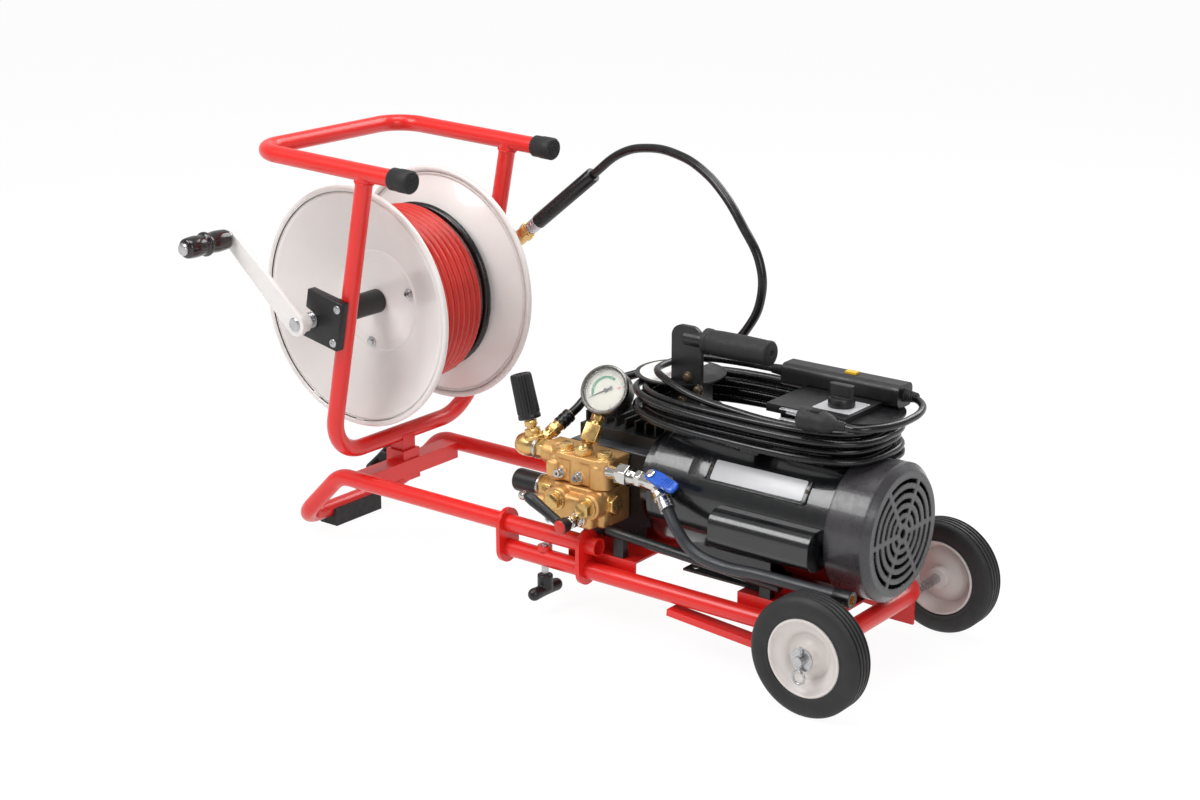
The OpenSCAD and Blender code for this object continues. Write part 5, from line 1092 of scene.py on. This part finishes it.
def switch_and_unit():
    """The switch's plate and knob, the ground-fault unit's reliefs, the plug and the tray's bare label."""
    add_prism(rounded((-97, -19), (-43, 33), 3), 331.2, 331.9, bevel=0.2)
    piece("switch_plate", SILVER)
    where = at(-70, 7, 331.5)
    add_turned([(16.4, 0.4), (17, 1.2), (17, 8), (15.6, 11.4), (14, 12)], where, 56)
    add_prism(rounded((-16.8, -5), (16.8, 5), 4.6), 6, 28, where, 1.8)
    piece("switch_bar_knob", PLASTIC, "switch_knob", 40, body="switch")
    for x, ahead, length in ((-189.6, -1, 24), (-18.4, 1, 16)):
        rows = [(8.4, -2), (8.4, 2)]
        count = int(length / 3.2)
        for i in range(count):
            r = 7.8 - 1.8 * i / count
            rows += [(r, 2.6 + 3.2 * i), (r, 4.2 + 3.2 * i), (r - 1.1, 4.4 + 3.2 * i),
                     (r - 1.1, 5.6 + 3.2 * i)]
        add_lathe([(0, -2)] + rows + [(0, rows[-1][1])], facing((x, *GFCI_AT[1:]), (ahead, 0, 0)), 32)
    piece("unit_reliefs", RUBBER)
    line = facing(PLUG_AT, REAR)
    shell = [(0, 0), (12.6, 0), (13.8, 1), (14, 4), (13.6, 14), (12.2, 22), (12.6, 30), (13, 36), (11.6, 42),
             (8.6, 46), (8, 48)]
    relief = [(7.6 - 0.2 * i - 1 * (i % 2), 48.6 + 1.9 * i) for i in range(8)]
    add_lathe(shell + relief + [(5, 63.8), (0, 63.8)], line, 40)
    for side in (-1, 1):
        for i in range(5):
            add_box((side * 11 - 3, -6, 12 + 3.4 * i), (side * 11 + 3, 6, 13.6 + 3.4 * i), line, 0.6)
    piece("plug_body", RUBBER, "plug", 40)
    x, y, z = PLUG_AT
    for middle in (z - 6.35, z + 6.35):
        add_box((x - 29, y - 3.15, middle - 0.75), (x + 1, y + 3.15, middle + 0.75), bevel=0.3)
    add_rod((x + 1, y + 7, z), FRONT, 2.4, 26, 1.6, 24)
    piece("plug_blades", ZINC)
    add_prism(arc(54, 54, range(82, 279, 4), (-330, 30)), 323.3, 323.7)
    piece("tray_blank_label", LABEL)


def crimps():
    """Shells pressed over the hose ends, the hose's sleeve, and the inlet's end collar."""
    rib = [(9.6, 0), (10, 0.4), (10, 4), (9.7, 4.4), (9.7, 6.4), (10, 6.8), (10, 11), (9.7, 11.4),
           (9.7, 13.4), (10, 13.8), (10, 17.6), (9.4, 18.2), (6.4, 18.2)]
    add_lathe(rib, facing(SWIVEL + SWIVEL_DIR * 122, SWIVEL_DIR), 40)
    short = [(r + 0.4, h * 0.6) for r, h in rib[:-1]] + [(8, 11)]
    add_lathe(short, facing(VALVE + VALVE_OUT * 30.1, VALVE_OUT), 40)
    piece("hose_crimps", ZINC)
    add_lathe([(7.9, -3), (10.2, -3), (10.4, -2.4), (10.4, 20.2), (9.8, 20.8), (7, 20.8)],
              facing((5.1, -112, 136), REAR), 48)
    branch = UNLOADER + BRANCH_DIR * 44.1
    add_lathe([(r, h * 1.2) for r, h in rib], facing(branch, BRANCH_DIR), 40)
    start = SWIVEL + SWIVEL_DIR * 140.4
    add_lathe([(6.4, 0), (10.2, 0), (11, 0.9), (11, 128.8), (10.2, 129.8), (6.4, 129.8)],
              facing(start, SWIVEL_DIR), 48)
    piece("hose_sleeves", BLACK_HOSE, crease=40)


motor_plates()
carry_grip()
switch_and_unit()
crimps()

# Studio: a pale floor, a white surround and four soft lights

# How much of the floor shows as plain white; the rest keeps the shadow
FLOOR_WHITE = 0.9
# The room lights the object less from this side, where the camera stands
CAMERA_SIDE = (0.55, -0.78, 0.2)
LIGHTS_AIM = Vector((0, 0, 0.25))


def studio():
    """The floor and the light. The floor and surround look white, and the floor keeps a soft shadow."""
    bpy.ops.mesh.primitive_plane_add(size=80, location=(0, 0, -0.0005))
    floor = bpy.context.object
    floor.name = "floor"
    made = bpy.data.materials.new("pale_floor")
    made.use_nodes = True
    tree = made.node_tree
    tree.nodes.remove(tree.nodes["Principled BSDF"])
    path = node(tree, "LightPath").outputs
    seen = node(tree, "Math", {0: path["Is Camera Ray"], 1: path["Is Glossy Ray"]}, operation="MAXIMUM")
    share = node(tree, "Math", {0: seen.outputs[0], 1: FLOOR_WHITE}, operation="MULTIPLY")
    pale = node(tree, "BsdfDiffuse", {"Color": (0.9, 0.9, 0.9, 1)})
    white = node(tree, "Emission", {"Color": (1, 1, 1, 1), "Strength": 1.04})
    mixed = node(tree, "MixShader", {"Fac": share.outputs[0], 1: pale.outputs[0], 2: white.outputs[0]})
    feed(tree, tree.nodes["Material Output"], {"Surface": mixed.outputs[0]})
    floor.data.materials.append(made)

    world = bpy.data.worlds.new("surround")
    bpy.context.scene.world = world
    world.use_nodes = True
    tree = world.node_tree
    path = node(tree, "LightPath").outputs
    direction = node(tree, "TexCoord").outputs["Generated"]
    towards = node(tree, "VectorMath", {0: direction, 1: CAMERA_SIDE}, operation="DOT_PRODUCT")
    room = spread(tree, towards.outputs["Value"], 0.62, 0.2, -0.6, 0.9)
    seen = {"Factor": path["Is Camera Ray"], "A": room, "B": 1.05}
    level = node(tree, "Mix", seen, data_type="FLOAT")
    feed(tree, tree.nodes["Background"], {"Strength": level.outputs[0], "Color": (1, 1, 1, 1)})

    for name, place, size, power in (
        ("key", (-0.9, -1.7, 2.3), 1.6, 46),
        ("fill", (2.2, -1.2, 1.5), 1.4, 18),
        ("back", (0.3, 2.2, 2.1), 1.8, 34),
        ("top", (0.1, 0, 2.6), 1.5, 26),
    ):
        lamp = bpy.data.lights.new(name, "AREA")
        lamp.shape = "DISK"
        lamp.size = size
        lamp.energy = power
        light = bpy.data.objects.new(name, lamp)
        light.location = place
        light.rotation_euler = (LIGHTS_AIM - light.location).to_track_quat("-Z", "Y").to_euler()
        show(light)
    bpy.context.scene.view_settings.view_transform = "Standard"


studio()
